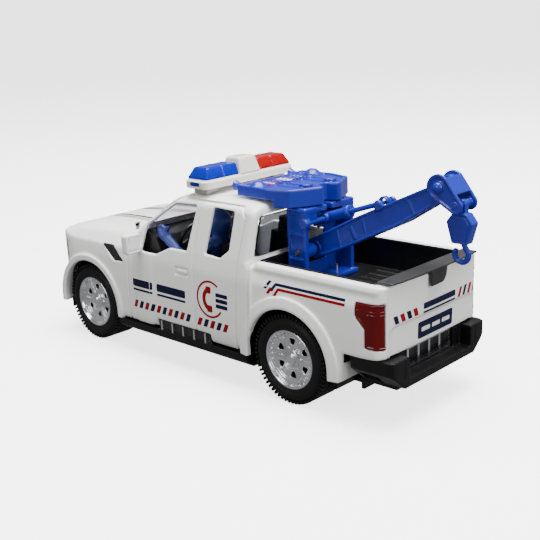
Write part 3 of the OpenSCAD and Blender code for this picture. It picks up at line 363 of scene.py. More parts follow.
@dataclass(frozen=True)
class Finish:
    """A procedural plastic, metal or rubber.

    Attributes:
        name: Material name.
        colour: Base colour, linear.
        roughness: Middle of the roughness range.
        spread: How far the roughness wanders either side of its middle.
        mottle: Share by which the colour wanders.
        grain: Strength of the fine relief.
        grain_mm: Size of the fine relief's features.
        metallic: 1 for metal and plated plastic.
        coat: Weight of a clear gloss layer.
        transmission: Share of light that passes through.
        ior: Refractive index.
        relief: The kind of fine relief.
        scatter: Weight of light that scatters inside.
        shine: Level of the plain reflection; 0.5 is the refractive index's own.
    """

    name: str
    colour: Colour
    roughness: float = 0.35
    spread: float = 0.05
    mottle: float = 0.04
    grain: float = 0.05
    grain_mm: float = 0.5
    metallic: float = 0.0
    coat: float = 0.0
    transmission: float = 0.0
    ior: float = 1.46
    relief: Texture = Texture.MOULDED
    scatter: float = 0.0
    shine: float = 0.5

    def noise(self, nodes: bpy.types.Nodes, links: bpy.types.NodeLinks, size_mm: float,
            detail: float) -> bpy.types.Node:
        """Noise in object space.

        Args:
            nodes: The material's nodes.
            links: The material's links.
            size_mm: Size of the largest features.
            detail: Octaves of finer features.

        Returns:
            The noise node.
        """
        place = nodes.get("Place") or nodes.new("ShaderNodeTexCoord")
        place.name = "Place"
        texture = nodes.new("ShaderNodeTexNoise")
        texture.inputs["Scale"].default_value = 1 / (size_mm * MM)
        texture.inputs["Detail"].default_value = detail
        links.new(place.outputs["Object"], texture.inputs["Vector"])
        return texture

    def spanned(self, nodes: bpy.types.Nodes, links: bpy.types.NodeLinks, source: bpy.types.Node,
                low: float, high: float) -> bpy.types.NodeSocket:
        """Maps a noise's middle range onto low to high."""
        span = nodes.new("ShaderNodeMapRange")
        span.inputs["From Min"].default_value = 0.3
        span.inputs["From Max"].default_value = 0.7
        span.inputs["To Min"].default_value = low
        span.inputs["To Max"].default_value = high
        links.new(source.outputs["Fac"], span.inputs["Value"])
        return span.outputs["Result"]

    def make(self) -> bpy.types.Material:
        """Builds the node tree once, and returns it again when asked again."""
        found = bpy.data.materials.get(self.name)
        if found:
            return found
        material = bpy.data.materials.new(self.name)
        material.use_nodes = True
        nodes, links = material.node_tree.nodes, material.node_tree.links
        shader = nodes["Principled BSDF"]
        shader.inputs["Metallic"].default_value = self.metallic
        shader.inputs["IOR"].default_value = self.ior
        shader.inputs["Specular IOR Level"].default_value = self.shine
        shader.inputs["Coat Weight"].default_value = self.coat
        shader.inputs["Coat Roughness"].default_value = 0.08
        shader.inputs["Transmission Weight"].default_value = self.transmission
        if self.scatter:
            shader.inputs["Subsurface Weight"].default_value = self.scatter
            shader.inputs["Subsurface Radius"].default_value = (0.002, 0.002, 0.002)
            shader.inputs["Subsurface Scale"].default_value = 1.0
        cloud = self.noise(nodes, links, 18.0, 3.0)
        ramp = nodes.new("ShaderNodeValToRGB")
        ramp.color_ramp.elements[0].position = 0.35
        ramp.color_ramp.elements[1].position = 0.65
        ramp.color_ramp.elements[0].color = (*[c * (1 - self.mottle) for c in self.colour], 1)
        ramp.color_ramp.elements[1].color = (*[min(c * (1 + self.mottle), 1) for c in self.colour], 1)
        links.new(cloud.outputs["Fac"], ramp.inputs["Fac"])
        links.new(ramp.outputs["Color"], shader.inputs["Base Color"])
        smudge = self.noise(nodes, links, 6.0, 5.0)
        span = self.spanned(nodes, links, smudge, max(self.roughness - self.spread, 0.02),
            self.roughness + self.spread)
        links.new(span, shader.inputs["Roughness"])
        bump = nodes.new("ShaderNodeBump")
        bump.inputs["Strength"].default_value = self.grain
        bump.inputs["Distance"].default_value = 0.2 * MM
        if self.relief is Texture.BRUSHED:
            fine = nodes.new("ShaderNodeTexWave")
            fine.bands_direction = "X"
            fine.inputs["Scale"].default_value = 0.5 / (self.grain_mm * MM)
            fine.inputs["Distortion"].default_value = 2.0
            links.new(nodes["Place"].outputs["Object"], fine.inputs["Vector"])
        else:
            fine = self.noise(nodes, links, self.grain_mm, 2.0)
        links.new(fine.outputs["Fac"], bump.inputs["Height"])
        links.new(bump.outputs["Normal"], shader.inputs["Normal"])
        return material


BODY_WHITE = Finish("body_white", (0.76, 0.76, 0.84), 0.27, 0.05, 0.015, 0.03, 1.2, coat=0.5, scatter=0.08)
DARK_SATIN = Finish("dark_satin", (0.003, 0.003, 0.0033), 0.46, 0.07, 0.12, 0.25, 0.45, shine=0.3)
DARK_GLOSS = Finish("dark_gloss", (0.004, 0.004, 0.005), 0.22, 0.05, 0.1, 0.05, 0.8, coat=0.3)
SEAT_BLACK = Finish("seat_black", (0.005, 0.005, 0.006), 0.42, 0.08, 0.15, 0.2, 0.5)
CLEAR_PANE = Finish("clear_pane", (0.86, 0.88, 0.92), 0.04, 0.015, 0.01, 0.01, 3.0, transmission=1.0, ior=1.3)
CLEAR_LENS = Finish("clear_lens", (0.92, 0.94, 0.97), 0.05, 0.02, 0.01, 0.02, 2.0, transmission=1.0)
RUBY_LENS = Finish("ruby_lens", (0.10, 0.0002, 0.001), 0.12, 0.03, 0.1, 0.03, 1.0, shine=0.4)
RUBY_DARK = Finish("ruby_dark", (0.014, 0.0002, 0.0006), 0.2, 0.04, 0.15, 0.05, 1.0)
CRANE_BLUE = Finish("crane_blue", (0.0012, 0.002, 0.036), 0.34, 0.07, 0.10, 0.10, 0.7, shine=0.3)
FIGURE_BLUE = Finish("figure_blue", (0.002, 0.022, 0.24), 0.40, 0.05, 0.06, 0.1, 0.6, shine=0.3)
BEACON_BLUE = Finish("beacon_blue", (0.001, 0.03, 0.60), 0.10, 0.03, 0.05, 0.03, 1.5, transmission=0.6)
BEACON_RED = Finish("beacon_red", (0.50, 0.001, 0.002), 0.10, 0.03, 0.05, 0.03, 1.5, transmission=0.5)
IVORY = Finish("lamp_ivory", (0.74, 0.72, 0.66), 0.28, 0.05, 0.03, 0.04, 0.9, coat=0.3, scatter=0.08)
# The light bar's ivory darkened to about 0.43 of its brightness: painted shade under the bar, used on its feet.
IVORY_PAINTED_SHADE = Finish("ivory_painted_shade", (0.33, 0.31, 0.28), 0.35, 0.06, 0.08, 0.08, 0.7)
# The 0.15 mottle in this colour is painted reflection: dark and bright patches that stand in for surroundings
# mirrored in the plating.
PLATED = Finish("plated_bright", (0.80, 0.80, 0.83), 0.13, 0.07, 0.15, 0.3, 0.9, metallic=1.0)
STEEL = Finish("ground_steel", (0.55, 0.55, 0.56), 0.3, 0.06, 0.05, 0.1, 0.3, metallic=1.0,
    relief=Texture.BRUSHED)
TYRE_VINYL = Finish("tyre_vinyl", (0.0025, 0.0025, 0.0027), 0.55, 0.08, 0.15, 0.3, 0.35, shine=0.3)
ACETAL = Finish("gear_acetal", (0.72, 0.69, 0.58), 0.4, 0.05, 0.03, 0.06, 0.6, scatter=0.1)
BOARD = Finish("lamp_board", (0.16, 0.34, 0.2), 0.35, 0.05, 0.08, 0.1, 0.6)
TUB_BLACK = Finish("tub_black", (0.002, 0.002, 0.0022), 0.42, 0.08, 0.15, 0.2, 0.6, shine=0.3)
RAIL_GREY = Finish("rail_grey", (0.02, 0.02, 0.021), 0.42, 0.06, 0.1, 0.2, 0.5)
PRINT_NAVY = Finish("print_navy", (0.0015, 0.004, 0.03), 0.35, 0.04, 0.06, 0.02, 1.0, shine=0.2)
PRINT_RED = Finish("print_red", (0.26, 0.0006, 0.003), 0.35, 0.04, 0.05, 0.02, 1.0, shine=0.2)
PRINT_WHITE = Finish("print_white", (0.8, 0.8, 0.82), 0.3, 0.04, 0.02, 0.02, 1.0, coat=0.3)
PRINT_LILAC = Finish("print_lilac", (0.52, 0.53, 0.72), 0.3, 0.04, 0.05, 0.02, 1.0, coat=0.3)

SLOT_FINISH: dict[str, Finish] = {
    "body_white": BODY_WHITE, "chassis_black": DARK_SATIN, "glazing": CLEAR_PANE,
    "interior_black": SEAT_BLACK,
    "figure_blue": FIGURE_BLUE, "grille_black": DARK_GLOSS, "lens_clear": CLEAR_LENS, "lens_ruby": RUBY_LENS,
    "trim_bright": PLATED, "lightbar_ivory": IVORY, "lens_blue": BEACON_BLUE, "lens_red": BEACON_RED,
    "board": BOARD, "crane_blue": CRANE_BLUE, "steel": STEEL, "tyre": TYRE_VINYL, "rim_bright": PLATED,
    "gear_ivory": ACETAL,
}


def dress(piece: bpy.types.Object, finish: Finish) -> None:
    """Gives a piece one finish all over."""
    piece.data.materials.clear()
    piece.data.materials.append(finish.make())


def fit(piece: bpy.types.Object, finish: Finish, slot: str, body: str, *nodes: str) -> bpy.types.Object:
    """Dresses a piece and ties it to the frame.

    Args:
        piece: The finished object.
        finish: Its finish.
        slot: The record's material slot; not used.
        body: The CAD body that it rides on.
        nodes: CAD nodes that it stands for.

    Returns:
        The same object.
    """
    if not piece.data.materials:
        dress(piece, finish)
    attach(piece, body)
    if nodes:
        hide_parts(*nodes)
    LOG.info("%s: %d faces on %s", piece.name, len(piece.data.polygons), body)
    return piece


# ------------------------------------------------------------------ body
@dataclass
class BodyShell:
    """The white moulding: nose, cab and bed sides in one piece, with grooves where the panels meet."""

    half_w: float = LAYOUT.half_w
    groove_w: float = 0.9
    groove_depth: float = 0.9
    flare_r: float = 6.0
    flare_out: float = 0.55
    skin: Moulding | None = None

    def side(self, drop: float = 0.0) -> list[Pair]:
        """Outline seen from the side, let down past its lower edge by drop."""
        s = LAYOUT
        front, rear, roof = s.front_axle_y, s.cab_rear_y, s.roof_z
        return fillet([
            (s.nose_y, s.bumper_z - drop, 1), (s.nose_y, 56, 3), (s.nose_y + 2.5, 60.5, 6),
            (s.nose_y + 9, 64.5, 12),
            (front - 12, 68, 30), (front + 12, 70.5, 30), (s.cowl_y, s.hood_z, 5),
            (s.windshield_top_y, roof - 2.4, 12), (s.windshield_top_y + 6, roof - 0.6, 20),
            (s.windshield_top_y + 16, roof, 30), (rear - 12, roof - 0.2, 30), (rear - 3, roof - 1.3, 6),
            (rear + 0.7, roof - 4, 5), (rear + 1.7, roof - 8, 8), (rear, s.rail_z, 0.5),
            (s.tail_y + 1.5, s.rail_z, 0.8), (s.tail_y + 1, 60, 6), (s.tail_y, s.bumper_z - drop, 1),
            (s.tail_y - 21, s.bumper_z - drop, 0), (s.tail_y - 23, s.sill_z - drop, 0),
            (front - s.arch_r + 4 - 1.5 * drop, s.sill_z - drop, 0),
            (front - s.arch_r + 4 - 1.5 * drop, s.bumper_z - drop, 0)])

    def plan(self) -> list[Pair]:
        """Outline seen from above."""
        w, s = self.half_w, LAYOUT
        nose = [(w - 15 + 15 * math.sin(a), s.nose_y + 27 * (1 - math.cos(a)), 0)
                for a in np.linspace(0.1, math.pi / 2, 12)]
        return fillet(mirrored([
            (0, s.nose_y, 0), (w - 15, s.nose_y, 4), *nose, (w, s.tail_y - 16, 20), (w - 2, s.tail_y - 8, 16),
            (w - 3.2, s.tail_y - 3, 5), (w - 9, s.tail_y, 6), (0, s.tail_y + 1.5, 90)]))

    def hood(self) -> list[Pair]:
        """Cross-section at the hood."""
        w = self.half_w
        return fillet(mirrored([
            (w, -10, 0), (w, 42, 20), (w - 0.6, 53, 20), (w - 1.8, 60, 4), (w - 7, 66.5, 8),
            (w - 13, 69.5, 12),
            (w - 24, 71.6, 20), (0, LAYOUT.hood_z, 90)]))

    def cab(self) -> list[Pair]:
        """Cross-section at the cab."""
        w, roof = self.half_w, LAYOUT.roof_z
        return fillet(mirrored([
            (w - 0.9, -10, 0), (w - 0.9, 22, 6), (w, 27, 10), (w, 38, 20), (w - 0.9, 57, 30),
            (w - 2.3, 65.5, 16),
            (w - 7.4, roof - 6, 6), (w - 9.6, roof - 2.9, 5), (w - 15, roof - 1.2, 20), (0, roof, 120)]))

    def bed(self) -> list[Pair]:
        """Cross-section at the bed."""
        w, rail = self.half_w, LAYOUT.rail_z
        return fillet(mirrored([
            (w - 1.5, -10, 0), (w - 1.5, 42, 30), (w - 2, 57, 12), (w - 3.7, 62.4, 3), (w - 3.3, 64.4, 1.5),
            (w - 4.3, rail, 1.2), (0, rail, 0)]))

    def form(self, x: Array, y: Array, z: Array, drop: float = 0.0) -> Array:
        """The body as a solid block."""
        s = LAYOUT
        hood = np.maximum(outline(x, z, self.hood()), y - (s.cowl_y + 12))
        cab = np.maximum(outline(x, z, self.cab()), slab(y, s.cowl_y, s.cab_rear_y + 1.6))
        bed = np.maximum(outline(x, z, self.bed()), s.cab_rear_y - 6 - y)
        section = np.minimum(smooth_min(hood, cab, 4.0), bed)
        soft = np.where(y < s.cab_rear_y + 3, 5.0, 1.6)
        body = smooth_max(section, outline(y, z, self.side(drop)), soft)
        return smooth_max(body, outline(x, y, self.plan()), 1.5)

    def arch(self, y: Array, z: Array, axle_y: float) -> Array:
        """Distance from the axle's axis, with straight legs below it."""
        return np.hypot(y - axle_y, np.maximum(z - LAYOUT.axle_z, 0))

    def seams(self) -> list[list[Pair]]:
        """Centre lines of the panel gaps on the side, as (y, z)."""
        s = LAYOUT
        front, mid, rear, roof = s.cowl_y - 6.5, s.cowl_y + 47.5, s.cab_rear_y - 4.5, s.roof_z - 4
        return [
            [(front - 0.5, 12), (front, 56), (front + 2.5, 61), (front + 7, 62.5)],
            [(mid, 12), (mid - 0.4, 64), (mid + 1.6, roof)],
            [(rear - 5, 12), (rear - 4.4, 40), (rear - 3.4, 64), (rear - 0.4, roof - 5), (rear - 4, roof)],
            [(s.windshield_top_y + 1.5, roof), (rear - 4, roof)],
            [(s.cowl_y + 9, 78), (s.windshield_top_y + 1.5, roof)],
        ]

    def windows(self, x: Array, y: Array, z: Array) -> Array:
        """The six window openings."""
        s = LAYOUT
        cowl, rear, top = s.cowl_y, s.cab_rear_y, s.roof_z
        front_pane = outline(y, z, fillet([
            (cowl + 5.3, 60.9, 1), (cowl + 17, 60.5, 3), (cowl + 28, 65.4, 3), (cowl + 41.5, 65.6, 1),
            (cowl + 46.5, top - 6, 1.2), (s.windshield_top_y - 0.5, top - 6.8, 5), (cowl + 8, 74.8, 2)]))
        rear_pane = outline(y, z, fillet([
            (rear - 31.4, 66.2, 1), (rear - 20.5, 65.6, 2), (rear - 14.5, 70.3, 2),
            (rear - 12.9, top - 6.2, 1.2),
            (rear - 27.8, top - 6, 1.2)]))
        screen = outline(x, z, fillet(mirrored([(self.half_w - 8, s.hood_z + 3.2, 3),
            (self.half_w - 13.4, top - 4.6, 3)])))
        back = outline(x, z, fillet(mirrored([(self.half_w - 7, s.rail_z + 0.9, 2.0),
            (self.half_w - 11, top - 7.5, 2.5)])))
        screen = np.maximum(screen, slab(y, cowl - 10, s.windshield_top_y + 12))
        back = np.maximum(back, slab(y, rear - 8, rear + 8))
        return np.minimum(np.minimum(front_pane, rear_pane), np.minimum(screen, back))

    def lamps(self, x: Array, y: Array, z: Array) -> Array:
        """Pockets of the lamps, the grille and the vents."""
        s, w = LAYOUT, self.half_w
        tail = np.maximum(outline(y, z, TailLamp.pane(0.0)), w - 7.4 - x)
        head = np.maximum(outline(x, z, FrontEnd.lamp_pane(0.0)), y - s.nose_y - 12)
        grille = np.maximum(outline(x, z, FrontEnd.grille_pane(0.0)), y - s.nose_y - 4)
        vent = outline(y, z, [(s.front_axle_y + 14.6, 60), (s.front_axle_y + 23.6, 60.2),
                              (s.front_axle_y + 33, 52.2), (s.front_axle_y + 24.3, 51.6)])
        vent = np.maximum(vent, w - 4 - x)
        slit = outline(x, y, [(19, s.cowl_y - 22), (22, s.cowl_y - 23), (31, s.cowl_y - 10.5),
            (30, s.cowl_y - 9.5)])
        slit = np.maximum(slit, s.hood_z - 10 - z)
        trim = box(x, y, z, (w - 4, s.cowl_y + 16, s.sill_z - 4), (w + 2, s.cowl_y + 58, s.sill_z + 5.6), 0.3)
        found = np.minimum(np.minimum(tail, head), np.minimum(grille, vent))
        return np.minimum(found, np.minimum(slit, trim))

    def shape(self, x: Array, y: Array, z: Array) -> Array:
        """The finished shell for x above zero."""
        s, w = LAYOUT, self.half_w
        outer = self.form(x, y, z)
        rear_r = self.arch(y, z, s.rear_axle_y)
        out = w + self.flare_out - 0.2 * np.maximum(rear_r - s.arch_r - 1.5, 0)
        flare = np.maximum(np.maximum(rear_r - s.arch_r - self.flare_r, x - out),
            np.maximum(s.sill_z - z, w - 5 - x))
        outer = np.minimum(outer, smooth_max(flare, x - out, 0.8))
        front_r = self.arch(y, z, s.front_axle_y)
        lip = np.maximum(np.maximum(front_r - s.arch_r - 3.4, slab(x, w - 6, w + 0.35)), s.sill_z - z)
        outer = smooth_min(outer, lip, 2.4)
        lines = np.minimum.reduce([stroke(y, z, path) for path in self.seams()])
        gap = stroke(y, z, [(s.cab_rear_y - 0.4, 0), (s.cab_rear_y - 0.2, s.rail_z + 1)]) - 0.55
        edge = stroke(x, z, [(w - 8.2, s.rail_z + 2), (w - 8.4, 58), (w - 8.6, 20)]) - 0.3
        edge = np.maximum(edge, s.tail_y - 3 - y)
        panel = smooth_max(np.abs(x) - 33, slab(z, 31, 47.0), 4.0)
        dish = np.maximum(np.maximum(panel, s.tail_y - 2 - y), -(outer + 0.5))
        shell = cut(outer, np.maximum(np.maximum(lines - self.groove_w / 2, -(outer + self.groove_depth)),
            30 - x), 0.35)
        shell = cut(shell, np.maximum(np.maximum(gap, -(outer + 1.2)), 30 - x), 0.5)
        shell = cut(shell, np.maximum(edge, -(outer + 0.6)), 0.3)
        shell = cut(shell, dish, 1.6)
        handle = box(x, y, z, (w - 1.55, s.cowl_y + 33.2, 52.4), (w + 3, s.cowl_y + 43.2, 56.8), 0.6)
        grip = box(x, y, z, (w - 3, s.cowl_y + 34.6, 53.6), (w - 0.75, s.cowl_y + 42.4, 55.6), 0.5)
        shell = smooth_min(cut(shell, handle, 0.5), grip, 0.4)
        shell = np.maximum(shell, -(self.form(x, y, z, 6.6) + s.wall))
        inside = box(x, y, z, (-1, s.cab_rear_y + 1.2, 40), (w - 8.5, s.tail_y - 7, s.rail_z + 9), 0.5)
        shell = cut(shell, inside, 0.8)
        wheels = np.minimum(rear_r, front_r) - s.arch_r
        shell = cut(shell, np.maximum(wheels, w - 16 - x), 0.8)
        shell = cut(shell, self.windows(x, y, z), 0.6)
        return cut(shell, self.lamps(x, y, z), 0.5)

    def build(self) -> None:
        """Moulds the shell."""
        low, high = node_box("nose_shell")[0], node_box("bed_shell")[1]
        low, high = (low[0], low[1], min(low[2], 18.9)), (self.half_w + 0.6, high[1], LAYOUT.roof_z)
        self.skin = Moulding("body_moulding", self.shape, (0, low[1], low[2]), high,
                             0.5, symmetric=True)
        fit(self.skin.build(), BODY_WHITE, "body_white", "truck", "nose_shell", "cab_shell", "bed_shell")


@dataclass
class TailLamp:
    """A ruby lamp that wraps round each rear corner, ribbed inside."""

    rib_pitch: float = 1.5

    @staticmethod
    def pane(inset: float) -> list[Pair]:
        """The lamp's outline as (y, z), shrunk by inset."""
        t, g = LAYOUT.tail_y, inset
        return [(t - 14.2 + g, 59 - g), (t - 14.2 + g, 52.8 + g * 0.4), (t - 9 + g, 47.5 + g * 0.4),
            (t - 9 + g, 38.6 + g),
                (t + 4, 37.6 + g), (t + 4, 59.4 - g)]


@dataclass
class FrontEnd:
    """Outlines of the grille and the headlamps; the front bumper is moulded by NoseDetails."""

    @staticmethod
    def lamp_pane(inset: float) -> list[Pair]:
        """A headlamp's outline as (x, z), shrunk by inset."""
        w, g = LAYOUT.half_w, inset
        return [(w - 20 + g, 45 + g), (w + 2, 47 + g), (w + 2, 57.5 - g), (w - 16 + g, 57 - g),
            (w - 21 + g, 52)]

    @staticmethod
    def grille_pane(inset: float) -> list[Pair]:
        """The grille's outline as (x, z), shrunk by inset."""
        w, g = LAYOUT.half_w, inset
        return [(u, v) for u, v, _ in mirrored([
            (w - 25 - g, 36.5 + g, 0), (w - 22.4 - g, 46, 0), (w - 23.4 - g, 58.2 - g, 0)])]


# ------------------------------------------------------------------ printed stripes
class Face(Enum):
    """The body face that a print lies on."""

    LEFT = 1
    RIGHT = -1
    TAILGATE = 2
    HOOD = 3


def slanted(u: float, v: float, width: float, height: float, lean: float) -> list[Pair]:
    """A leaning bar whose lower left corner is at (u, v)."""
    return [(u, v), (u + width, v), (u + width + lean, v + height), (u + lean, v + height)]


def pill(u0: float, v0: float, u1: float, v1: float, r: float) -> list[Pair]:
    """A rectangle with corners rounded to r."""
    return fillet([(u0, v0, r), (u1, v0, r), (u1, v1, r), (u0, v1, r)])


def arc_band(centre: Pair, radius: float, width: float, start: float, stop: float) -> list[Pair]:
    """A curved band of even width between two angles in degrees."""
    angles = np.radians(np.linspace(start, stop, max(int(abs(stop - start) / 8), 3)))
    far = [(centre[0] + (radius + width / 2) * math.cos(a), centre[1] + (radius + width / 2) * math.sin(a))
        for a in angles]
    near = [(centre[0] + (radius - width / 2) * math.cos(a), centre[1] + (radius - width / 2)
        * math.sin(a)) for a in angles]
    return far + near[::-1]


@dataclass
class Prints:
    """Stripes, dashes and bars printed on the body as thin films that follow its skin."""

    skin: Moulding
    film: float = 0.06
    cell: float = 2.6
    marks: dict[str, list[tuple[Face, list[Pair]]]] = field(default_factory=dict)

    def add(self, finish: Finish, face: Face, shape: list[Pair]) -> None:
        """Adds one mark in the face's plane; a mark on LEFT is repeated on RIGHT."""
        self.marks.setdefault(finish.name, []).append((face, shape))
        if face is Face.LEFT:
            self.marks[finish.name].append((Face.RIGHT, shape))

    def door(self) -> None:
        """Dashes, two word-length bars and a call ring on the doors."""
        s = LAYOUT
        for k in range(15):
            u = s.cowl_y - 3 + 4.75 * k + (4.2 if k > 9 else 0)
            self.add(PRINT_NAVY if k % 2 else PRINT_RED, Face.LEFT, slanted(u, 28.2, 2.8, 4.3, 1.9))
        for u0, u1 in ((-2.4, 14.0), (17.6, 40.5)):
            self.add(PRINT_NAVY, Face.LEFT, pill(s.cowl_y + u0, 40.4, s.cowl_y + u1, 44.6, 0.9))
            self.add(PRINT_NAVY, Face.LEFT, pill(s.cowl_y + u0, 38.0, s.cowl_y + u1, 39.2, 0.5))
        ring = (s.cowl_y + 59.4, 43.6)
        self.add(PRINT_RED, Face.LEFT, arc_band(ring, 9.3, 1.1, 52, 325))
        self.add(PRINT_RED, Face.LEFT, arc_band((ring[0] + 1.2, ring[1]), 5.6, 2.4, 125, 245))
        self.add(PRINT_RED, Face.LEFT, pill(ring[0] - 3.0, ring[1] + 3.0, ring[0] + 0.8, ring[1] + 6.6, 1.0))
        self.add(PRINT_RED, Face.LEFT, pill(ring[0] - 2.4, ring[1] - 6.8, ring[0] + 1.6, ring[1] - 3.2, 1.0))
        for v in (-3.6, -0.7, 2.2):
            self.add(PRINT_NAVY, Face.LEFT, pill(ring[0] + 4.2, ring[1] + v, ring[0] + 12.6,
                ring[1] + v + 2.0, 0.5))

    def bed(self) -> None:
        """Two lines with bent ends along the bed's side."""
        rear = LAYOUT.cab_rear_y
        end = rear + 59
        self.add(PRINT_NAVY, Face.LEFT, [(end, 59.5), (end, 58.2), (rear + 17.6, 58.2), (rear + 15.4, 55.2),
                                         (rear + 13.4, 55.2), (rear + 16.8, 59.5)])
        self.add(PRINT_RED, Face.LEFT, [(end, 57.4), (end, 56.1), (rear + 19.4, 56.1), (rear + 17.4, 53.2),
                                        (rear + 15.5, 53.2), (rear + 18.7, 57.4)])
        self.add(PRINT_NAVY, Face.LEFT, slanted(rear + 9.6, 56.0, 1.9, 4.0, 3.0))
        self.add(PRINT_RED, Face.LEFT, slanted(rear + 11.2, 53.6, 1.9, 3.4, 2.4))

    def tailgate(self) -> None:
        """Slanted blocks, a pair of bars and a plain number plate on the tailgate."""
        for k in range(4):
            finish = PRINT_RED if k % 2 else PRINT_NAVY
            self.add(finish, Face.TAILGATE, slanted(27.3 - 4.8 * k, 48.6, 2.9, 3.9, 1.5))
            thin = PRINT_NAVY if k % 2 else PRINT_RED
            self.add(thin, Face.TAILGATE, slanted(-21.6 - 4.3 * k, 48.4, 2.2, 4.8, -2.0))
        self.add(PRINT_NAVY, Face.TAILGATE, pill(-17.2, 50.2, 9.2, 53.2, 0.7))
        self.add(PRINT_NAVY, Face.TAILGATE, pill(-17.2, 48.2, 9.2, 49.2, 0.4))
        self.add(PRINT_NAVY, Face.TAILGATE, pill(-16.2, 36.4, 12.2, 44.4, 0.9))

    def hood(self) -> None:
        """A red line inside a navy outline down each side of the hood."""
        s = LAYOUT
        for side in (-1, 1):
            lines = ((PRINT_NAVY, 7.0, 9.0), (PRINT_RED, 10.2, 11.4), (PRINT_NAVY, 12.6, 13.4))
            for finish, inner, outer in lines:
                shape = [(side * inner, s.nose_y + 18), (side * outer, s.nose_y + 18),
                         (side * (outer + 5), s.cowl_y - 12), (side * (inner + 5), s.cowl_y - 12)]
                self.add(finish, Face.HOOD, shape if side > 0 else shape[::-1])

    def lift(self, face: Face, plane: Array, depth: float) -> Array:
        """Points on the skin under a face's plane.

        Args:
            face: The body face.
            plane: An n by 2 array of places in the face's plane.
            depth: Height above the skin; below it when negative.

        Returns:
            An n by 3 array in millimetres.
        """
        s = LAYOUT
        start = {Face.TAILGATE: s.tail_y + 3.5, Face.HOOD: s.hood_z + 2}.get(face, s.half_w + 1.5)
        travel = np.arange(0, 12, 0.15)
        found = np.full(len(plane), start - 6.0)
        last = np.full(len(plane), 9.0)
        open_ = np.ones(len(plane), bool)
        for t in travel:
            value = self.skin.at(self.solid(face, plane, np.full(len(plane), start - t)))
            hit = open_ & (value <= 0)
            share = last / np.maximum(last - value, 1e-6)
            found[hit] = (start - t + 0.15 * (1 - share))[hit]
            open_ &= ~hit
            last = value
        return self.solid(face, plane, found + depth)

    def solid(self, face: Face, plane: Array, out: Array) -> Array:
        """Joins plane places and outward distances into frame coordinates."""
        u, v = plane[:, 0], plane[:, 1]
        if face is Face.TAILGATE:
            return np.stack([u, out, v], axis=1)
        if face is Face.HOOD:
            return np.stack([u, v, out], axis=1)
        return np.stack([out * face.value, u, v], axis=1)

    def film_mesh(self, piece: bmesh.types.BMesh, face: Face, shape: list[Pair]) -> None:
        """Adds one closed film to a mesh being made.

        Args:
            piece: The mesh that takes it.
            face: The body face.
            shape: Its outline in the face's plane.
        """
        flat = bmesh.new()
        flat.faces.new([flat.verts.new((u, v, 0)) for u, v in shape])
        flat.normal_update()
        bmesh.ops.triangulate(flat, faces=flat.faces[:])
        for axis in (0, 1):
            low, high = min(p[axis] for p in shape), max(p[axis] for p in shape)
            for at in np.arange(low + self.cell, high - 0.3, self.cell):
                normal = Vector((1 - axis, axis, 0))
                bmesh.ops.bisect_plane(flat, geom=flat.verts[:] + flat.edges[:] + flat.faces[:],
                                       plane_co=normal * at, plane_no=normal)
        flat.verts.index_update()
        plane = np.array([v.co[:2] for v in flat.verts])
        layers = [[piece.verts.new(p * MM) for p in self.lift(face, plane, depth)] for depth in (self.film,
            -0.15)]
        for found in flat.faces:
            loop = [v.index for v in found.verts]
            piece.faces.new([layers[0][i] for i in loop])
            piece.faces.new([layers[1][i] for i in reversed(loop)])
        for edge in flat.edges:
            if len(edge.link_faces) == 1:
                a, b = (v.index for v in edge.verts)
                piece.faces.new([layers[0][a], layers[0][b], layers[1][b], layers[1][a]])
        flat.free()

    def build(self) -> None:
        """Lays every film, one piece for each colour."""
        self.door()
        self.bed()
        self.tailgate()
        self.hood()
        finishes = {f.name: f for f in (PRINT_NAVY, PRINT_RED)}
        for name, marks in self.marks.items():
            piece = bmesh.new()
            for face, shape in marks:
                self.film_mesh(piece, face, shape)
            bmesh.ops.recalc_face_normals(piece, faces=piece.faces[:])
            mesh = bpy.data.meshes.new(name)
            piece.to_mesh(mesh)
            piece.free()
            made = bpy.data.objects.new(name + "_stripes", mesh)
            bpy.context.scene.collection.objects.link(made)
            fit(made, finishes[name], "body_white", "truck")
        self.plate_bars()

    def plate_bars(self) -> None:
        """Pale bars on the number plate."""
        piece = bmesh.new()
        self.film = 0.12
        for u0, u1 in ((-13.6, -7.2), (-5.4, 1.0), (2.8, 9.4)):
            self.film_mesh(piece, Face.TAILGATE, pill(u0, 39.4, u1, 41.4, 0.5))
        bmesh.ops.recalc_face_normals(piece, faces=piece.faces[:])
        mesh = bpy.data.meshes.new("plate_bars")
        piece.to_mesh(mesh)
        piece.free()
        made = bpy.data.objects.new("plate_bars", mesh)
        bpy.context.scene.collection.objects.link(made)
        fit(made, PRINT_WHITE, "body_white", "truck")


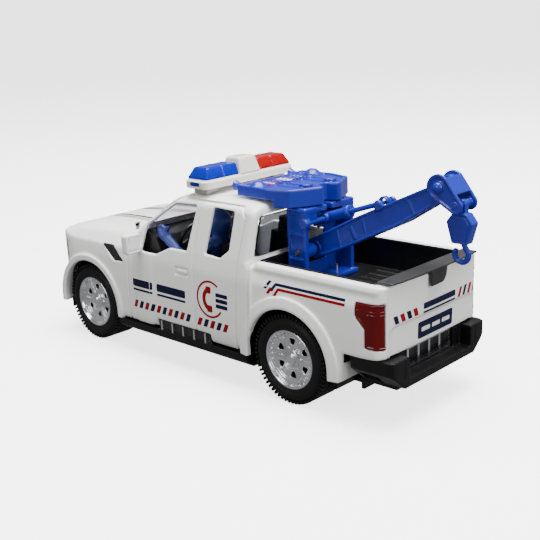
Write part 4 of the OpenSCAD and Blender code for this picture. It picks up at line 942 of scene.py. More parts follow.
# ------------------------------------------------------------------ repeated details
@dataclass
class RingArray:
    """Geometry Nodes that set copies of a small block round a wheel's axle.

    Attributes:
        name: Name of the finished piece.
        finish: Its finish.
        count: Number of copies.
        radius: Distance of their middles from the axle, in millimetres.
        size: Block size across, along the rim and outwards.
        across: Place of the copies along the axle.
        phase: Angle of the first copy in degrees.
        round_: True sets short round studs in place of blocks.
    """

    name: str
    finish: Finish
    count: int
    radius: float
    size: Triple
    across: float
    phase: float = 0.0
    round_: bool = False

    def tree(self) -> bpy.types.NodeTree:
        """The node tree, with named inputs for its sizes."""
        tree = bpy.data.node_groups.new(self.name + "_tree", "GeometryNodeTree")
        tree.interface.new_socket("Geometry", in_out="OUTPUT", socket_type="NodeSocketGeometry")
        for label, kind in (("Count", "NodeSocketInt"), ("Radius", "NodeSocketFloat"),
                ("Across", "NodeSocketFloat"),
                            ("Phase", "NodeSocketFloat"), ("Size", "NodeSocketVector"),
                            ("Centre", "NodeSocketVector")):
            tree.interface.new_socket(label, in_out="INPUT", socket_type=kind)
        nodes, links = tree.nodes, tree.links
        given, result = nodes.new("NodeGroupInput"), nodes.new("NodeGroupOutput")
        points = nodes.new("GeometryNodePoints")
        links.new(given.outputs["Count"], points.inputs["Count"])
        index = nodes.new("GeometryNodeInputIndex")
        turn = nodes.new("ShaderNodeMath")
        turn.operation = "DIVIDE"
        links.new(index.outputs["Index"], turn.inputs[0])
        links.new(given.outputs["Count"], turn.inputs[1])
        angle = nodes.new("ShaderNodeMath")
        angle.operation = "MULTIPLY_ADD"
        angle.inputs[1].default_value = 2 * math.pi
        links.new(turn.outputs[0], angle.inputs[0])
        links.new(given.outputs["Phase"], angle.inputs[2])
        sine, cosine = nodes.new("ShaderNodeMath"), nodes.new("ShaderNodeMath")
        sine.operation, cosine.operation = "SINE", "COSINE"
        links.new(angle.outputs[0], sine.inputs[0])
        links.new(angle.outputs[0], cosine.inputs[0])
        place = nodes.new("ShaderNodeCombineXYZ")
        for source, socket in ((cosine, "Y"), (sine, "Z")):
            out = nodes.new("ShaderNodeMath")
            out.operation = "MULTIPLY"
            links.new(source.outputs[0], out.inputs[0])
            links.new(given.outputs["Radius"], out.inputs[1])
            links.new(out.outputs[0], place.inputs[socket])
        links.new(given.outputs["Across"], place.inputs["X"])
        moved = nodes.new("ShaderNodeVectorMath")
        moved.operation = "ADD"
        links.new(place.outputs[0], moved.inputs[0])
        links.new(given.outputs["Centre"], moved.inputs[1])
        links.new(moved.outputs[0], points.inputs["Position"])
        if self.round_:
            block = nodes.new("GeometryNodeMeshCylinder")
            block.inputs["Vertices"].default_value = 8
            block.inputs["Radius"].default_value = 0.5
            block.inputs["Depth"].default_value = 1.0
            tip = nodes.new("GeometryNodeTransform")
            tip.inputs["Rotation"].default_value = (0, math.pi / 2, 0)
            links.new(block.outputs["Mesh"], tip.inputs["Geometry"])
            shape = tip.outputs["Geometry"]
        else:
            block = nodes.new("GeometryNodeMeshCube")
            block.inputs["Size"].default_value = (1, 1, 1)
            shape = block.outputs["Mesh"]
        facing = nodes.new("ShaderNodeCombineXYZ")
        links.new(angle.outputs[0], facing.inputs["X"])
        set_ = nodes.new("GeometryNodeInstanceOnPoints")
        links.new(points.outputs[0], set_.inputs["Points"])
        links.new(shape, set_.inputs["Instance"])
        links.new(facing.outputs[0], set_.inputs["Rotation"])
        links.new(given.outputs["Size"], set_.inputs["Scale"])
        real = nodes.new("GeometryNodeRealizeInstances")
        links.new(set_.outputs[0], real.inputs[0])
        coat = nodes.new("GeometryNodeSetMaterial")
        coat.inputs["Material"].default_value = self.finish.make()
        links.new(real.outputs[0], coat.inputs["Geometry"])
        links.new(coat.outputs[0], result.inputs[0])
        return tree

    def build(self, centre: Triple) -> bpy.types.Object:
        """Makes the copies round a centre.

        Args:
            centre: The wheel's middle in millimetres.

        Returns:
            One plain mesh object.
        """
        sizes = {"Count": self.count, "Radius": self.radius * MM, "Across": self.across * MM,
                 "Phase": math.radians(self.phase), "Size": [v * MM for v in self.size],
                 "Centre": [v * MM for v in centre]}
        return grown(self.name, self.tree(), sizes)


def grown(name: str, tree: bpy.types.NodeTree, sizes: dict[str, object]) -> bpy.types.Object:
    """Runs a Geometry Nodes tree once and keeps its result as a plain mesh.

    Args:
        name: Name of the finished object.
        tree: The tree.
        sizes: Values of its named inputs.

    Returns:
        The finished object.
    """
    seed = bpy.data.objects.new(name + "_seed", bpy.data.meshes.new(name + "_seed"))
    bpy.context.scene.collection.objects.link(seed)
    modifier = seed.modifiers.new("grow", "NODES")
    modifier.node_group = tree
    sockets = {item.name: item.identifier for item in tree.interface.items_tree if item.in_out == "INPUT"}
    for label, value in sizes.items():
        modifier[sockets[label]] = value
    graph = bpy.context.evaluated_depsgraph_get()
    graph.update()
    mesh = bpy.data.meshes.new_from_object(seed.evaluated_get(graph))
    bpy.data.objects.remove(seed)
    made = bpy.data.objects.new(name, mesh)
    mesh.name = name
    bpy.context.scene.collection.objects.link(made)
    return made


@dataclass
class RowArray:
    """Geometry Nodes that set copies of a block in a straight row.

    Attributes:
        name: Name of the finished piece.
        finish: Its finish.
        count: Number of copies.
        size: Block size in millimetres.
        pitch: Step from one copy to the next.
    """

    name: str
    finish: Finish
    count: int
    size: Triple
    pitch: Triple

    def build(self, first: Triple) -> bpy.types.Object:
        """Makes the row.

        Args:
            first: Middle of the first copy in millimetres.

        Returns:
            One plain mesh object.
        """
        tree = bpy.data.node_groups.new(self.name + "_tree", "GeometryNodeTree")
        tree.interface.new_socket("Geometry", in_out="OUTPUT", socket_type="NodeSocketGeometry")
        for label, kind in (("Count", "NodeSocketInt"), ("Size", "NodeSocketVector"),
                ("Pitch", "NodeSocketVector"),
                            ("First", "NodeSocketVector")):
            tree.interface.new_socket(label, in_out="INPUT", socket_type=kind)
        nodes, links = tree.nodes, tree.links
        given, result = nodes.new("NodeGroupInput"), nodes.new("NodeGroupOutput")
        line = nodes.new("GeometryNodeMeshLine")
        links.new(given.outputs["Count"], line.inputs["Count"])
        links.new(given.outputs["First"], line.inputs["Start Location"])
        links.new(given.outputs["Pitch"], line.inputs["Offset"])
        block = nodes.new("GeometryNodeMeshCube")
        block.inputs["Size"].default_value = (1, 1, 1)
        set_ = nodes.new("GeometryNodeInstanceOnPoints")
        links.new(line.outputs["Mesh"], set_.inputs["Points"])
        links.new(block.outputs["Mesh"], set_.inputs["Instance"])
        links.new(given.outputs["Size"], set_.inputs["Scale"])
        real = nodes.new("GeometryNodeRealizeInstances")
        links.new(set_.outputs[0], real.inputs[0])
        coat = nodes.new("GeometryNodeSetMaterial")
        coat.inputs["Material"].default_value = self.finish.make()
        links.new(real.outputs[0], coat.inputs["Geometry"])
        links.new(coat.outputs[0], result.inputs[0])
        return grown(self.name, tree, {"Count": self.count, "Size": [v * MM for v in self.size],
                                       "Pitch": [v * MM for v in self.pitch],
                                       "First": [v * MM for v in first]})


# ------------------------------------------------------------------ wheels
@dataclass
class Wheel:
    """A vinyl tyre on a plated six-spoke rim.

    Attributes:
        corner: Which wheel, such as front_left.
        side: 1 on the left, -1 on the right.
        axle_y: Place of its axle.
        body: The CAD body that turns with it.
    """

    corner: str
    side: int
    axle_y: float
    body: str
    tyre_r: float = 22.5
    half_w: float = 9.0
    rim_r: float = 14.2
    outer_x: float = 41.4
    lugs: int = 60

    @property
    def middle(self) -> Triple:
        """Middle of the tyre."""
        return self.side * (self.outer_x - self.half_w), self.axle_y, LAYOUT.axle_z

    def place(self) -> Matrix:
        """Turns the wheel's outer side outwards."""
        turn = Matrix.Rotation(0 if self.side > 0 else math.pi, 4, "Z")
        return Matrix.Translation(self.middle) @ turn

    def tyre_shape(self, x: Array, y: Array, z: Array) -> Array:
        """Tyre body with rings moulded in its wall and grooves round its tread."""
        r, w = np.hypot(y, z), self.half_w
        section = fillet([
            (-w + 2.2, self.rim_r, 0), (-w + 0.7, self.rim_r + 0.8, 0.6), (-w, self.rim_r + 2.6, 1.5),
            (-w + 0.1, self.tyre_r - 3.2, 1.6), (-w + 2.4, self.tyre_r - 0.35, 1.4),
            (w - 2.4, self.tyre_r - 0.35, 1.4),
            (w - 0.1, self.tyre_r - 3.2, 1.6), (w, self.rim_r + 2.6, 1.5), (w - 0.7, self.rim_r + 0.8, 0.6),
            (w - 2.2, self.rim_r, 0)])
        body = outline(x, r, section)
        for ring, width in ((self.rim_r + 2.2, 0.45), (self.rim_r + 5.4, 0.35)):
            groove = np.maximum(np.abs(r - ring) - width / 2, w - 0.45 - np.abs(x))
            body = smooth_max(body, -groove, 0.2)
        for at in (-3.1, 0.0, 3.1):
            body = smooth_max(body, -np.maximum(np.abs(x - at) - 0.45, self.tyre_r - 1.3 - r), 0.3)
        return np.maximum(body, self.rim_r + 0.02 - r)

    def rim_shape(self, x: Array, y: Array, z: Array) -> Array:
        """Rim with a wide lip, six pressed spokes and a hub cap."""
        r, w = np.hypot(y, z), self.half_w
        angle = np.arctan2(z, y)
        step = math.pi / 3
        off = r * np.sin((angle + step / 2) % step - step / 2)
        along = r * np.cos((angle + step / 2) % step - step / 2)
        lip = outline(x, r, fillet([
            (-w + 1.5, self.rim_r - 1.2, 0), (-w + 1.5, self.rim_r, 0), (w - 1.9, self.rim_r, 0),
            (w - 1.2, self.rim_r + 0.7, 0.4),
            (w - 0.5, self.rim_r + 0.5, 0.4), (w - 0.5, self.rim_r - 0.5, 0.3),
            (w - 2.2, self.rim_r - 1.1, 0.4),
            (w - 2.6, self.rim_r - 2.6, 0.5), (w - 3.2, self.rim_r - 3.1, 0.3),
            (w - 5.0, self.rim_r - 3.1, 0.3),
            (w - 5.0, self.rim_r - 1.6, 0)]))
        dish = w - 3.1 - 0.05 * (self.rim_r - r)
        plate = smooth_max(np.maximum(x - dish, dish - 2.2 - x), r - (self.rim_r - 2.4), 0.4)
        hole = smooth_max(smooth_max(1.9 + 0.14 * along - np.abs(off), 6.9 - r, 0.7), r - (self.rim_r - 4.3),
            0.7)
        plate = smooth_max(plate, -hole, 0.7)
        ridge = np.maximum(np.maximum(np.abs(off) - 0.55, slab(r, 5.0, self.rim_r - 3.4)),
            slab(x, dish - 1, dish + 0.55))
        plate = smooth_min(plate, ridge, 0.5)
        groove = np.maximum(np.abs(r - 6.4) - 0.2, dish - 0.35 - x)
        plate = smooth_max(plate, -groove, 0.15)
        hub = combine(r - 4.9, slab(x, w - 8.5, w - 2.1), 0.5)
        cap = combine(r - 2.6, slab(x, w - 3, w - 1.3), 0.5)
        hub = smooth_max(hub, -combine(np.abs(r - 3.4) - 0.5, slab(x, w - 2.5, w + 2), 0.1), 0.2)
        hub = smooth_min(hub, cap, 0.3)
        inner = np.maximum(r - 3.2, slab(x, -w + 3, w - 7))
        solid = np.minimum(smooth_min(plate, hub, 0.6), np.minimum(lip, inner))
        return np.maximum(solid, -np.maximum(r - 1.5, x - (w - 4)))

    def back_shape(self, x: Array, y: Array, z: Array) -> Array:
        """Dark backing seen through the rim's windows."""
        return combine(np.hypot(y, z) - (self.rim_r - 1.5), slab(x, -2, -0.8), 0.2)

    def build(self) -> None:
        """Moulds the wheel and sets its repeated details."""
        far, step = self.tyre_r + 0.4, 0.42
        tyre = Moulding("tyre_wall_" + self.corner, self.tyre_shape, (-self.half_w, -far, -far),
            (self.half_w, far, far),
                        step, place=self.place()).build(0.01)
        fit(tyre, TYRE_VINYL, "tyre", self.body, "tyre_" + self.corner)
        wide = self.rim_r + 1
        rim = Moulding("rim_plated_" + self.corner, self.rim_shape, (-self.half_w, -wide, -wide),
            (self.half_w, wide, wide),
                       0.26, place=self.place()).build(0.01)
        fit(rim, PLATED, "rim_bright", self.body, "rim_" + self.corner)
        back = Moulding("rim_back_" + self.corner, self.back_shape, (-3, -wide, -wide), (0, wide, wide), 0.6,
                        place=self.place()).build(0.02)
        fit(back, DARK_SATIN, "tyre", self.body)
        s, w = self.side, self.half_w
        studs = RingArray("rim_studs_" + self.corner, PLATED, 6, 4.15, (0.5, 0.85, 0.85), s * (w - 2.0), 30,
            True)
        fit(studs.build(self.middle), PLATED, "rim_bright", self.body)
        beads = RingArray("rim_beads_" + self.corner, PLATED, 30, self.rim_r - 1.75, (0.5, 0.9, 0.55),
            s * (w - 2.1), 0, True)
        fit(beads.build(self.middle), PLATED, "rim_bright", self.body)
        rows = ((w - 1.6, 1.8, 1.7, 0.5), (4.7, 2.0, 0.9, 0.0), (1.55, 2.0, 0.9, 0.5),
            (-1.55, 2.0, 0.9, 0.0), (-4.7, 2.0, 0.9, 0.5),
                (-w + 1.6, 1.8, 1.7, 0.0))
        for k, (across, wide_, tall, shift) in enumerate(rows):
            lugs = RingArray(f"tyre_lugs_{k}_" + self.corner, TYRE_VINYL, self.lugs,
                self.tyre_r - 0.1 - tall / 2,
                             (wide_, tall, 1.25), s * across, shift * 360 / self.lugs)
            fit(lugs.build(self.middle), TYRE_VINYL, "tyre", self.body)


# ------------------------------------------------------------------ crane
@dataclass
class Crane:
    """Bed crane: column, tapering boom, ram, pivoting head and hanging hook."""

    column_half_w: float = 18.8
    column_top: float = 90.6
    floor_z: float = 51.2
    boom_len: float = 81.5
    tilt: float = 27.7
    root_half_w: float = 7.0
    tip_half_w: float = 5.0
    plate: float = 1.8
    pin_u: float = 46.9
    pin_v: float = 5.4
    hook_w: float = 13.4
    hook_t: float = 5.4
    bend_r: float = 3.4
    bend_t: float = 2.6
    fine: float = 0.34

    @property
    def step(self) -> float:
        """Grid spacing."""
        return self.fine

    def column_shape(self, x: Array, y: Array, z: Array) -> Array:
        """Two cheeks with sunken panels, a front wall and a split top, for x above zero."""
        w, front, rear, top = self.column_half_w, LAYOUT.cab_rear_y + 5.9, LAYOUT.cab_rear_y + 17.7, self.column_top
        base = self.floor_z
        _, pivot_y, pivot_z = joint_place("boom_lift")
        _, ram_y, ram_z = joint_place("ram_swing")
        foot = box(x, y, z, (-5, front - 0.6, base + 0.05), (w + 1.4, rear + 1.6, base + 2.4), 0.5)
        cheek = box(x, y, z, (w - 2.6, front, base + 1), (w, rear, top), 0.7)
        lintel = box(x, y, z, (1.7, front, top - 3), (w, rear, top), 0.7)
        drop = box(x, y, z, (9.4, rear - 1.8, top - 7.4), (w, rear, top), 0.6)
        wall = box(x, y, z, (-5, front, base + 1), (w, front + 1.6, top - 1), 0.5)
        boss = rod(y, z, x, (pivot_y, pivot_z), 3.4, self.root_half_w + 0.4, w - 2, 0.3)
        trunnion = rod(y, z, x, (ram_y, ram_z), 2.7, w - 3, w + 0.5, 0.8)
        solid = smooth_min(smooth_min(foot, cheek, 0.8), smooth_min(lintel, drop, 0.5), 0.8)
        solid = smooth_min(smooth_min(solid, wall, 0.5), np.minimum(boss, trunnion), 0.5)
        for low, high in ((base + 3.6, pivot_z - 3.6), (pivot_z - 2.4, pivot_z + 8.6),
                (pivot_z + 10.0, top - 2.0)):
            panel = box(x, y, z, (w - 0.75, front + 1.5, low), (w + 3, rear - 2.0, high), 0.3)
            solid = cut(solid, np.maximum(panel, -(trunnion - 0.4)), 0.4)
        groove = box(x, y, z, (12.2, front + 2.4, top - 0.5), (13.0, rear - 2.0, top + 2), 0.1)
        solid = cut(solid, groove, 0.2)
        root = box(x, y, z, (-5, front - 3, pivot_z - 8), (self.root_half_w + 1, front + 3, pivot_z + 8), 0.3)
        ram = box(x, y, z, (-5, front - 3, ram_z - 16), (3.2, front + 3, ram_z + 3.4), 0.3)
        return cut(cut(solid, root, 0.4), ram, 0.4)

    def boom_shape(self, x: Array, y: Array, z: Array) -> Array:
        """Channel-section boom with flanged, ribbed sides."""
        n = self.boom_len
        half = self.root_half_w - (self.root_half_w - self.tip_half_w) * np.clip((y + 12) / (n + 3), 0, 1)
        side = outline(y, z, fillet([
            (-3, -4.6, 2), (18, -6.3, 20), (n - 28, -7.6, 30), (n - 2, -5.8, 4), (n + 3, -2, 2),
            (n + 3, 2, 2),
            (n - 5, 2.4, 8), (33, 4.8, 20), (-1.6, 5.2, 2), (-3, 4, 1)]))
        side = np.minimum(side, np.minimum(np.hypot(y, z) - 4.6, np.hypot(y - n, z) - 4.2))
        solid = combine(side, np.abs(x) - half, 0.5)
        floor = outline(y, z, [(-6, -20), (n - 26, -20), (n - 26, -5.4), (20, -4.4), (-6, -3)])
        channel = np.maximum(np.abs(x) - (half - self.plate), -floor)
        solid = cut(solid, channel, 0.5)
        ribs = np.minimum(stroke(y, z, [(15.5, -8), (19.0, 6)]), stroke(y, z, [(32.5, -9), (36.0, 6)])) - 0.45
        web = np.maximum(np.maximum(side + 1.35, -ribs), half - 0.55 - np.abs(x))
        web = np.maximum(web, -(np.minimum(np.hypot(y, z) - 4.6, np.hypot(y - n, z) - 4.4)))
        solid = cut(solid, web, 0.5)
        solid = smooth_min(solid, box(x, y, z, (-6, 26, -5), (6, 27.6, 1.6), 0.3), 0.4)
        solid = smooth_min(solid, box(x, y, z, (-5, 62, -6), (5, 63.6, 2), 0.3), 0.4)
        solid = np.minimum(solid, rod(y, z, x, (self.pin_u, self.pin_v), 1.0, -6.4, 6.4, 0.2))
        knob = rod(y, z, np.abs(x), (self.pin_u, self.pin_v - 0.6), 2.6, self.tip_half_w - 0.9,
            self.root_half_w - 0.6, 0.8)
        knob = np.minimum(knob, rod(y, z, np.abs(x), (n, 0), 4.2, 1.9, self.tip_half_w, 0.4))
        return smooth_min(solid, knob, 0.6)

    def dome_shape(self, x: Array, y: Array, z: Array) -> Array:
        """Domed ends of the head's pin."""
        solid = rod(y, z, x, (0, 0), 1.5, -7.4, 7.4, 0.3)
        cap = np.sqrt((np.abs(x) - 5.9) ** 2 + y * y + z * z) - 2.7
        return np.minimum(solid, np.maximum(cap, 6.75 - np.abs(x)))

    def tube_shape(self, x: Array, y: Array, z: Array) -> Array:
        """The ram's barrel with a collar and trunnions."""
        barrel = rod(x, z, y, (0, 0), 2.7, -10, 15, 0.5)
        collar = rod(x, z, y, (0, 0), 3.3, 12.4, 15, 0.4)
        trunnion = rod(y, z, x, (0, 0), 1.5, 0.3 - self.column_half_w, self.column_half_w - 0.3, 0.2)
        boss = rod(y, z, np.abs(x), (0, 0), 2.6, 1, 4.2, 0.4)
        solid = smooth_min(np.minimum(barrel, collar), np.minimum(trunnion, boss), 0.4)
        return np.maximum(solid, -np.maximum(np.hypot(x, z) - 1.36, -8.6 - y))

    def rod_shape(self, x: Array, y: Array, z: Array) -> Array:
        """The ram's rod and its eye."""
        reach = math.dist((joint_place("ram_swing")[1], joint_place("ram_swing")[2]), self.pin_place())
        solid = rod(x, z, y, (0, 0), 1.3, -2, reach - 2, 0.2)
        eye = rod(y, z, x, (reach, 0), 3.1, -1.5, 1.5, 0.5)
        return np.maximum(smooth_min(solid, eye, 0.5), 2.1 - np.hypot(y - reach, z))

    def pin_place(self) -> Pair:
        """Place of the boom's ram pin, as (y, z)."""
        _, y, z = joint_place("boom_lift")
        a = math.radians(self.tilt)
        return (y + self.pin_u * math.cos(a) - self.pin_v * math.sin(a),
                z + self.pin_u * math.sin(a) + self.pin_v * math.cos(a))

    def taper(self, y: Array, z: Array, shrink: float) -> Array:
        """Rounded outline of the head's cheeks in the plane."""
        far_y, far_z = (b - a for a, b in zip(joint_place("head_tilt")[1:], joint_place("hook_swing")[1:]))
        t = np.clip((y * far_y + z * far_z) / (far_y ** 2 + far_z ** 2), 0, 1)
        return np.hypot(y - t * far_y, z - t * far_z) - (5.9 - 2.3 * t) + shrink

    def head_shape(self, x: Array, y: Array, z: Array) -> Array:
        """Two cheeks with raised rims, tied by a roof plate."""
        w = self.tip_half_w + 0.3
        far_y, far_z = (b - a for a, b in zip(joint_place("head_tilt")[1:], joint_place("hook_swing")[1:]))
        cheek = combine(self.taper(y, z, 0.0), slab(np.abs(x), w, w + 1.5), 0.3)
        dish = np.maximum(self.taper(y, z, 1.5), w + 1.0 - np.abs(x))
        knobs = np.minimum(np.hypot(y, z) - 3.0, np.hypot(y - far_y, z - far_z) - 2.0)
        cheek = cut(cheek, np.maximum(dish, -knobs), 0.4)
        along = (y * 0.749 - z * 0.663)
        above = (y * 0.663 + z * 0.749)
        roof = np.maximum(np.maximum(self.taper(y, z, 0.0), -self.taper(y, z, 1.3)), np.abs(x) - w - 0.5)
        roof = np.maximum(np.maximum(roof, -above), slab(along, -0.5, 8.2))
        fork = rod(y, z, np.abs(x), (far_y, far_z), 1.9, 1.9, w + 0.5, 0.3)
        solid = smooth_min(np.minimum(cheek, roof), fork, 0.3)
        return np.maximum(solid, 1.55 - np.hypot(y, z))

    def hook_pin_shape(self, x: Array, y: Array, z: Array) -> Array:
        """Pin of the hook with small domed ends."""
        return rod(y, z, x, (0, 0), 1.1, -self.tip_half_w - 1.9, self.tip_half_w + 1.9, 0.7)

    def hook_shape(self, x: Array, y: Array, z: Array) -> Array:
        """Neck, six-sided weight and bent hook."""
        half, low = self.hook_w / 2, -17.6
        neck = np.minimum(np.hypot(y, z) - 2.3, combine(np.abs(y) - 2.3, slab(z, -5, 0), 0.2))
        neck = combine(neck, np.abs(x) - 1.6, 0.3)
        hexagon = outline(y, z, fillet([(-3.4, -3.8, 0.6), (3.4, -3.8, 0.6), (half, -8.0, 0.6),
            (half - 2.8, low, 0.6),
                                        (-half + 2.8, low, 0.6), (-half, -8.0, 0.6)]))
        weight = combine(hexagon, np.abs(x) - self.hook_t / 2, 0.45)
        frame_ = np.maximum(np.maximum(hexagon + 1.1, -(hexagon + 1.6)), self.hook_t / 2 - 0.3 - np.abs(x))
        weight = cut(weight, frame_, 0.25)
        throat = low - self.bend_r - 1.8
        path = [(0.6, low + 1), (1.4, low - 1.2), (self.bend_r, throat + 1.2)]
        path += [(self.bend_r * math.cos(a), throat + self.bend_r * math.sin(a))
                 for a in np.radians(np.arange(0, -216, -12))]
        bend = np.hypot(stroke(y, z, path), x) - self.bend_t / 2
        solid = smooth_min(np.minimum(neck, weight), bend, 0.5)
        return np.maximum(solid, 1.15 - np.hypot(y, z))

    def build(self) -> None:
        """Moulds the crane, each piece on its own body."""
        y, z = joint_place("boom_lift")[1:]
        n, w = self.boom_len, self.column_half_w
        on_boom = Matrix.Translation((0, y, z)) @ Matrix.Rotation(math.radians(self.tilt), 4, "X")
        front = LAYOUT.cab_rear_y + 5
        column = Moulding("column_moulding", self.column_shape, (0, front, self.floor_z),
            (w + 2, front + 15, self.column_top),
                          self.step, symmetric=True)
        fit(column.build(), CRANE_BLUE, "crane_blue", "truck", "crane_column")
        boom = Moulding("boom_moulding", self.boom_shape, (-8, -5, -9), (8, n + 5, 9), self.step,
            place=on_boom)
        fit(boom.build(), CRANE_BLUE, "crane_blue", "boom", "boom")
        at_head = Matrix.Translation(joint_place("head_tilt"))
        at_hook = Matrix.Translation(joint_place("hook_swing"))
        dome = Moulding("head_pin_domes", self.dome_shape, (-9, -3, -3), (9, 3, 3), self.step, place=at_head)
        fit(dome.build(), CRANE_BLUE, "crane_blue", "boom", "head_pin")
        ram_y, ram_z = joint_place("ram_swing")[1:]
        pin_y, pin_z = self.pin_place()
        slope = math.atan2(pin_z - ram_z, pin_y - ram_y)
        on_ram = Matrix.Translation((0, ram_y, ram_z)) @ Matrix.Rotation(slope, 4, "X")
        tube = Moulding("ram_barrel", self.tube_shape, (-w, -10, -4), (w, 15, 4), self.step, place=on_ram)
        fit(tube.build(), CRANE_BLUE, "crane_blue", "ram_tube", "ram_tube")
        stem = Moulding("ram_stem", self.rod_shape, (-4, -2, -4), (4, 42, 4), self.step, place=on_ram)
        fit(stem.build(), CRANE_BLUE, "crane_blue", "ram_rod", "ram_rod")
        head = Moulding("head_cheeks", self.head_shape, (-8, -7, -12), (8, 13, 7), self.step, place=at_head)
        fit(head.build(), CRANE_BLUE, "crane_blue", "boom_head", "boom_head")
        pin = Moulding("hook_pin_domes", self.hook_pin_shape, (-8, -2, -2), (8, 2, 2), self.step,
            place=at_hook)
        fit(pin.build(), CRANE_BLUE, "crane_blue", "boom_head", "hook_pin")
        hook = Moulding("hook_moulding", self.hook_shape, (-4, -8, -29), (4, 8, 3), self.step, place=at_hook)
        fit(hook.build(), CRANE_BLUE, "crane_blue", "tow_hook", "tow_hook")


# ------------------------------------------------------------------ roof
@dataclass
class LightBar:
    """Ivory bar on feet whose ivory is darkened to grey as painted shade, with a blue and a red lens and a white
    middle.
    """

    half_w: float = 33.5
    depth: float = 17.0
    height: float = 4.6
    lens_h: float = 6.0
    middle: float = 7.6

    @property
    def y(self) -> float:
        """Middle of the bar."""
        return LAYOUT.front_axle_y + 86.5

    @property
    def z(self) -> float:
        """Underside of the bar."""
        return LAYOUT.roof_z + 1.5

    def base_shape(self, x: Array, y: Array, z: Array) -> Array:
        """The ivory bar, for x above zero."""
        half, d = self.half_w, self.depth / 2
        plan = combine(np.abs(x) - half, np.abs(y - self.y) - d, 4.2)
        tall = slab(z, self.z, self.z + self.height)
        bar = combine(plan, tall, 0.8)
        step = np.maximum(np.maximum(-(plan + 1.0), slab(z, self.z + self.height - 0.7, self.z + 20)),
            plan - 2)
        bar = cut(bar, step, 0.3)
        slot = box(x, y, z, (half - 1.2, self.y - 3.4, self.z + 1.2), (half + 2, self.y + 3.4, self.z + 3.4),
            0.3)
        return cut(bar, slot, 0.3)

    def foot_shape(self, x: Array, y: Array, z: Array) -> Array:
        """A foot under each end, for x above zero, coloured as ivory darkened by painted shade under the bar."""
        foot = box(x, y, z, (self.half_w - 13, self.y - 5, LAYOUT.roof_z - 3),
            (self.half_w - 4, self.y + 5, self.z + 0.1), 0.6)
        roof = outline(x, z, BodyShell().cab())
        return np.maximum(foot, -(roof - 0.05))

    def lens_field(self, x: Array, y: Array, z: Array, inset: float) -> Array:
        """Solid form of a lens, shrunk by inset."""
        low = self.z + self.height
        x0, x1, d = self.middle + 0.3, self.half_w - 2, self.depth / 2 - 1.4
        rise = np.clip((z - low - 1) / (self.lens_h - 1), 0, 1)
        slope = np.maximum(x - (x1 - 2.6 * rise), x0 - x)
        sides = np.maximum(self.y - d + 2.4 * rise - y, y - (self.y + d) + 1.8 * rise)
        form = smooth_max(smooth_max(slope, sides, 1.0), z - low - self.lens_h, 0.9)
        return np.maximum(form + inset, low - z - 0.1)

    def lens_shape(self, x: Array, y: Array, z: Array) -> Array:
        """A clear shell ribbed on its inside."""
        rib = 0.28 * np.cos(2 * math.pi * (y - self.y) / 2.1) + 0.2 * np.cos(2 * math.pi * x / 4.6)
        inner = self.lens_field(x, y, z + 0.3, 1.15) + rib
        line = np.abs(x - (self.middle + self.half_w) / 2 + 2) - 0.35
        ridge = np.maximum(self.lens_field(x, y, z, -0.12), line)
        shell = smooth_min(self.lens_field(x, y, z, 0.1), ridge, 0.2)
        return np.maximum(shell, -inner)

    def cover_shape(self, x: Array, y: Array, z: Array) -> Array:
        """White middle hump, for x above zero."""
        low = self.z + self.height
        rise = np.clip((z - low) / (self.lens_h + 2.2), 0, 1)
        wide = np.abs(x) - (self.middle - 1.6 * rise)
        long = np.maximum(self.y - self.depth / 2 + 1 + 3 * rise - y,
            y - (self.y + self.depth / 2 - 0.6) + 2.4 * rise)
        hump = smooth_max(smooth_max(wide, long, 1.4), z - low - self.lens_h - 2.2, 1.2)
        return np.maximum(hump, low - z)

    def reflector_shape(self, x: Array, y: Array, z: Array) -> Array:
        """Bright reflector cups under a lens, for x above zero."""
        low = self.z + self.height
        plate = box(x, y, z, (self.middle + 3, self.y - 4.6, low),
            (self.half_w - 6, self.y + 4.6, low + 0.8), 0.2)
        for k in range(3):
            at = self.middle + 6.4 + 5.4 * k
            cone = np.hypot(x - at, y - self.y) - 1.0 - 0.5 * np.clip(z - low - 0.6, 0, 4)
            cup = np.maximum(np.maximum(cone, -(cone + 0.5)), slab(z, low + 0.6, low + 3.4))
            bulb = np.sqrt((x - at) ** 2 + (y - self.y) ** 2 + (z - low - 2.0) ** 2) - 0.9
            plate = np.minimum(plate, np.minimum(cup, bulb))
        return plate

    def build(self) -> None:
        """Moulds the bar."""
        half, d, low = self.half_w, self.depth / 2, self.z + self.height
        step = 0.35
        base = Moulding("lightbar_tray", self.base_shape, (0, self.y - d, self.z), (half, self.y + d, low),
            step, True)
        fit(base.build(), IVORY, "lightbar_ivory", "truck", "lightbar_base")
        feet = Moulding("lightbar_feet", self.foot_shape, (0, self.y - d, self.z - 6),
            (half, self.y + d, self.z + 1), step, True)
        # The feet take the ivory darkened as painted shade under the bar.
        fit(feet.build(), IVORY_PAINTED_SHADE, "lightbar_ivory", "truck")
        cover = Moulding("lightbar_hump", self.cover_shape, (0, self.y - d, low), (9, self.y + d, low + 10),
            step, True)
        fit(cover.build(), IVORY, "lightbar_ivory", "truck", "lightbar_cover")
        cups = Moulding("lamp_cups", self.reflector_shape, (0, self.y - d, low), (half, self.y + d, low + 5),
            step, True)
        fit(cups.build(), PLATED, "board", "truck", "light_board")
        for name, finish, place in (("blue", BEACON_BLUE, Matrix()),
                ("red", BEACON_RED, Matrix.Rotation(math.pi, 4, "Z"))):
            middle = Matrix.Translation((0, self.y, 0))
            lens = Moulding("beacon_" + name, lambda x, y, z: self.lens_shape(x, y + self.y, z),
                            (self.middle - 1, -d, low - 1), (half, d, low + self.lens_h + 1), step,
                            place=middle @ place)
            fit(lens.build(), finish, "lens_" + name, "truck", "lens_" + name)
        chip = Moulding("bar_end_window", lambda x, y, z: box(x, y, z,
            (half - 1.6, self.y - 3.2, self.z + 1.4),
                                                              (half - 0.4, self.y + 3.2, self.z + 3.2), 0.2),
                        (half - 2, self.y - 4, self.z), (half, self.y + 4, self.z + 4), 0.3)
        fit(chip.build(), BEACON_BLUE, "lens_blue", "truck")


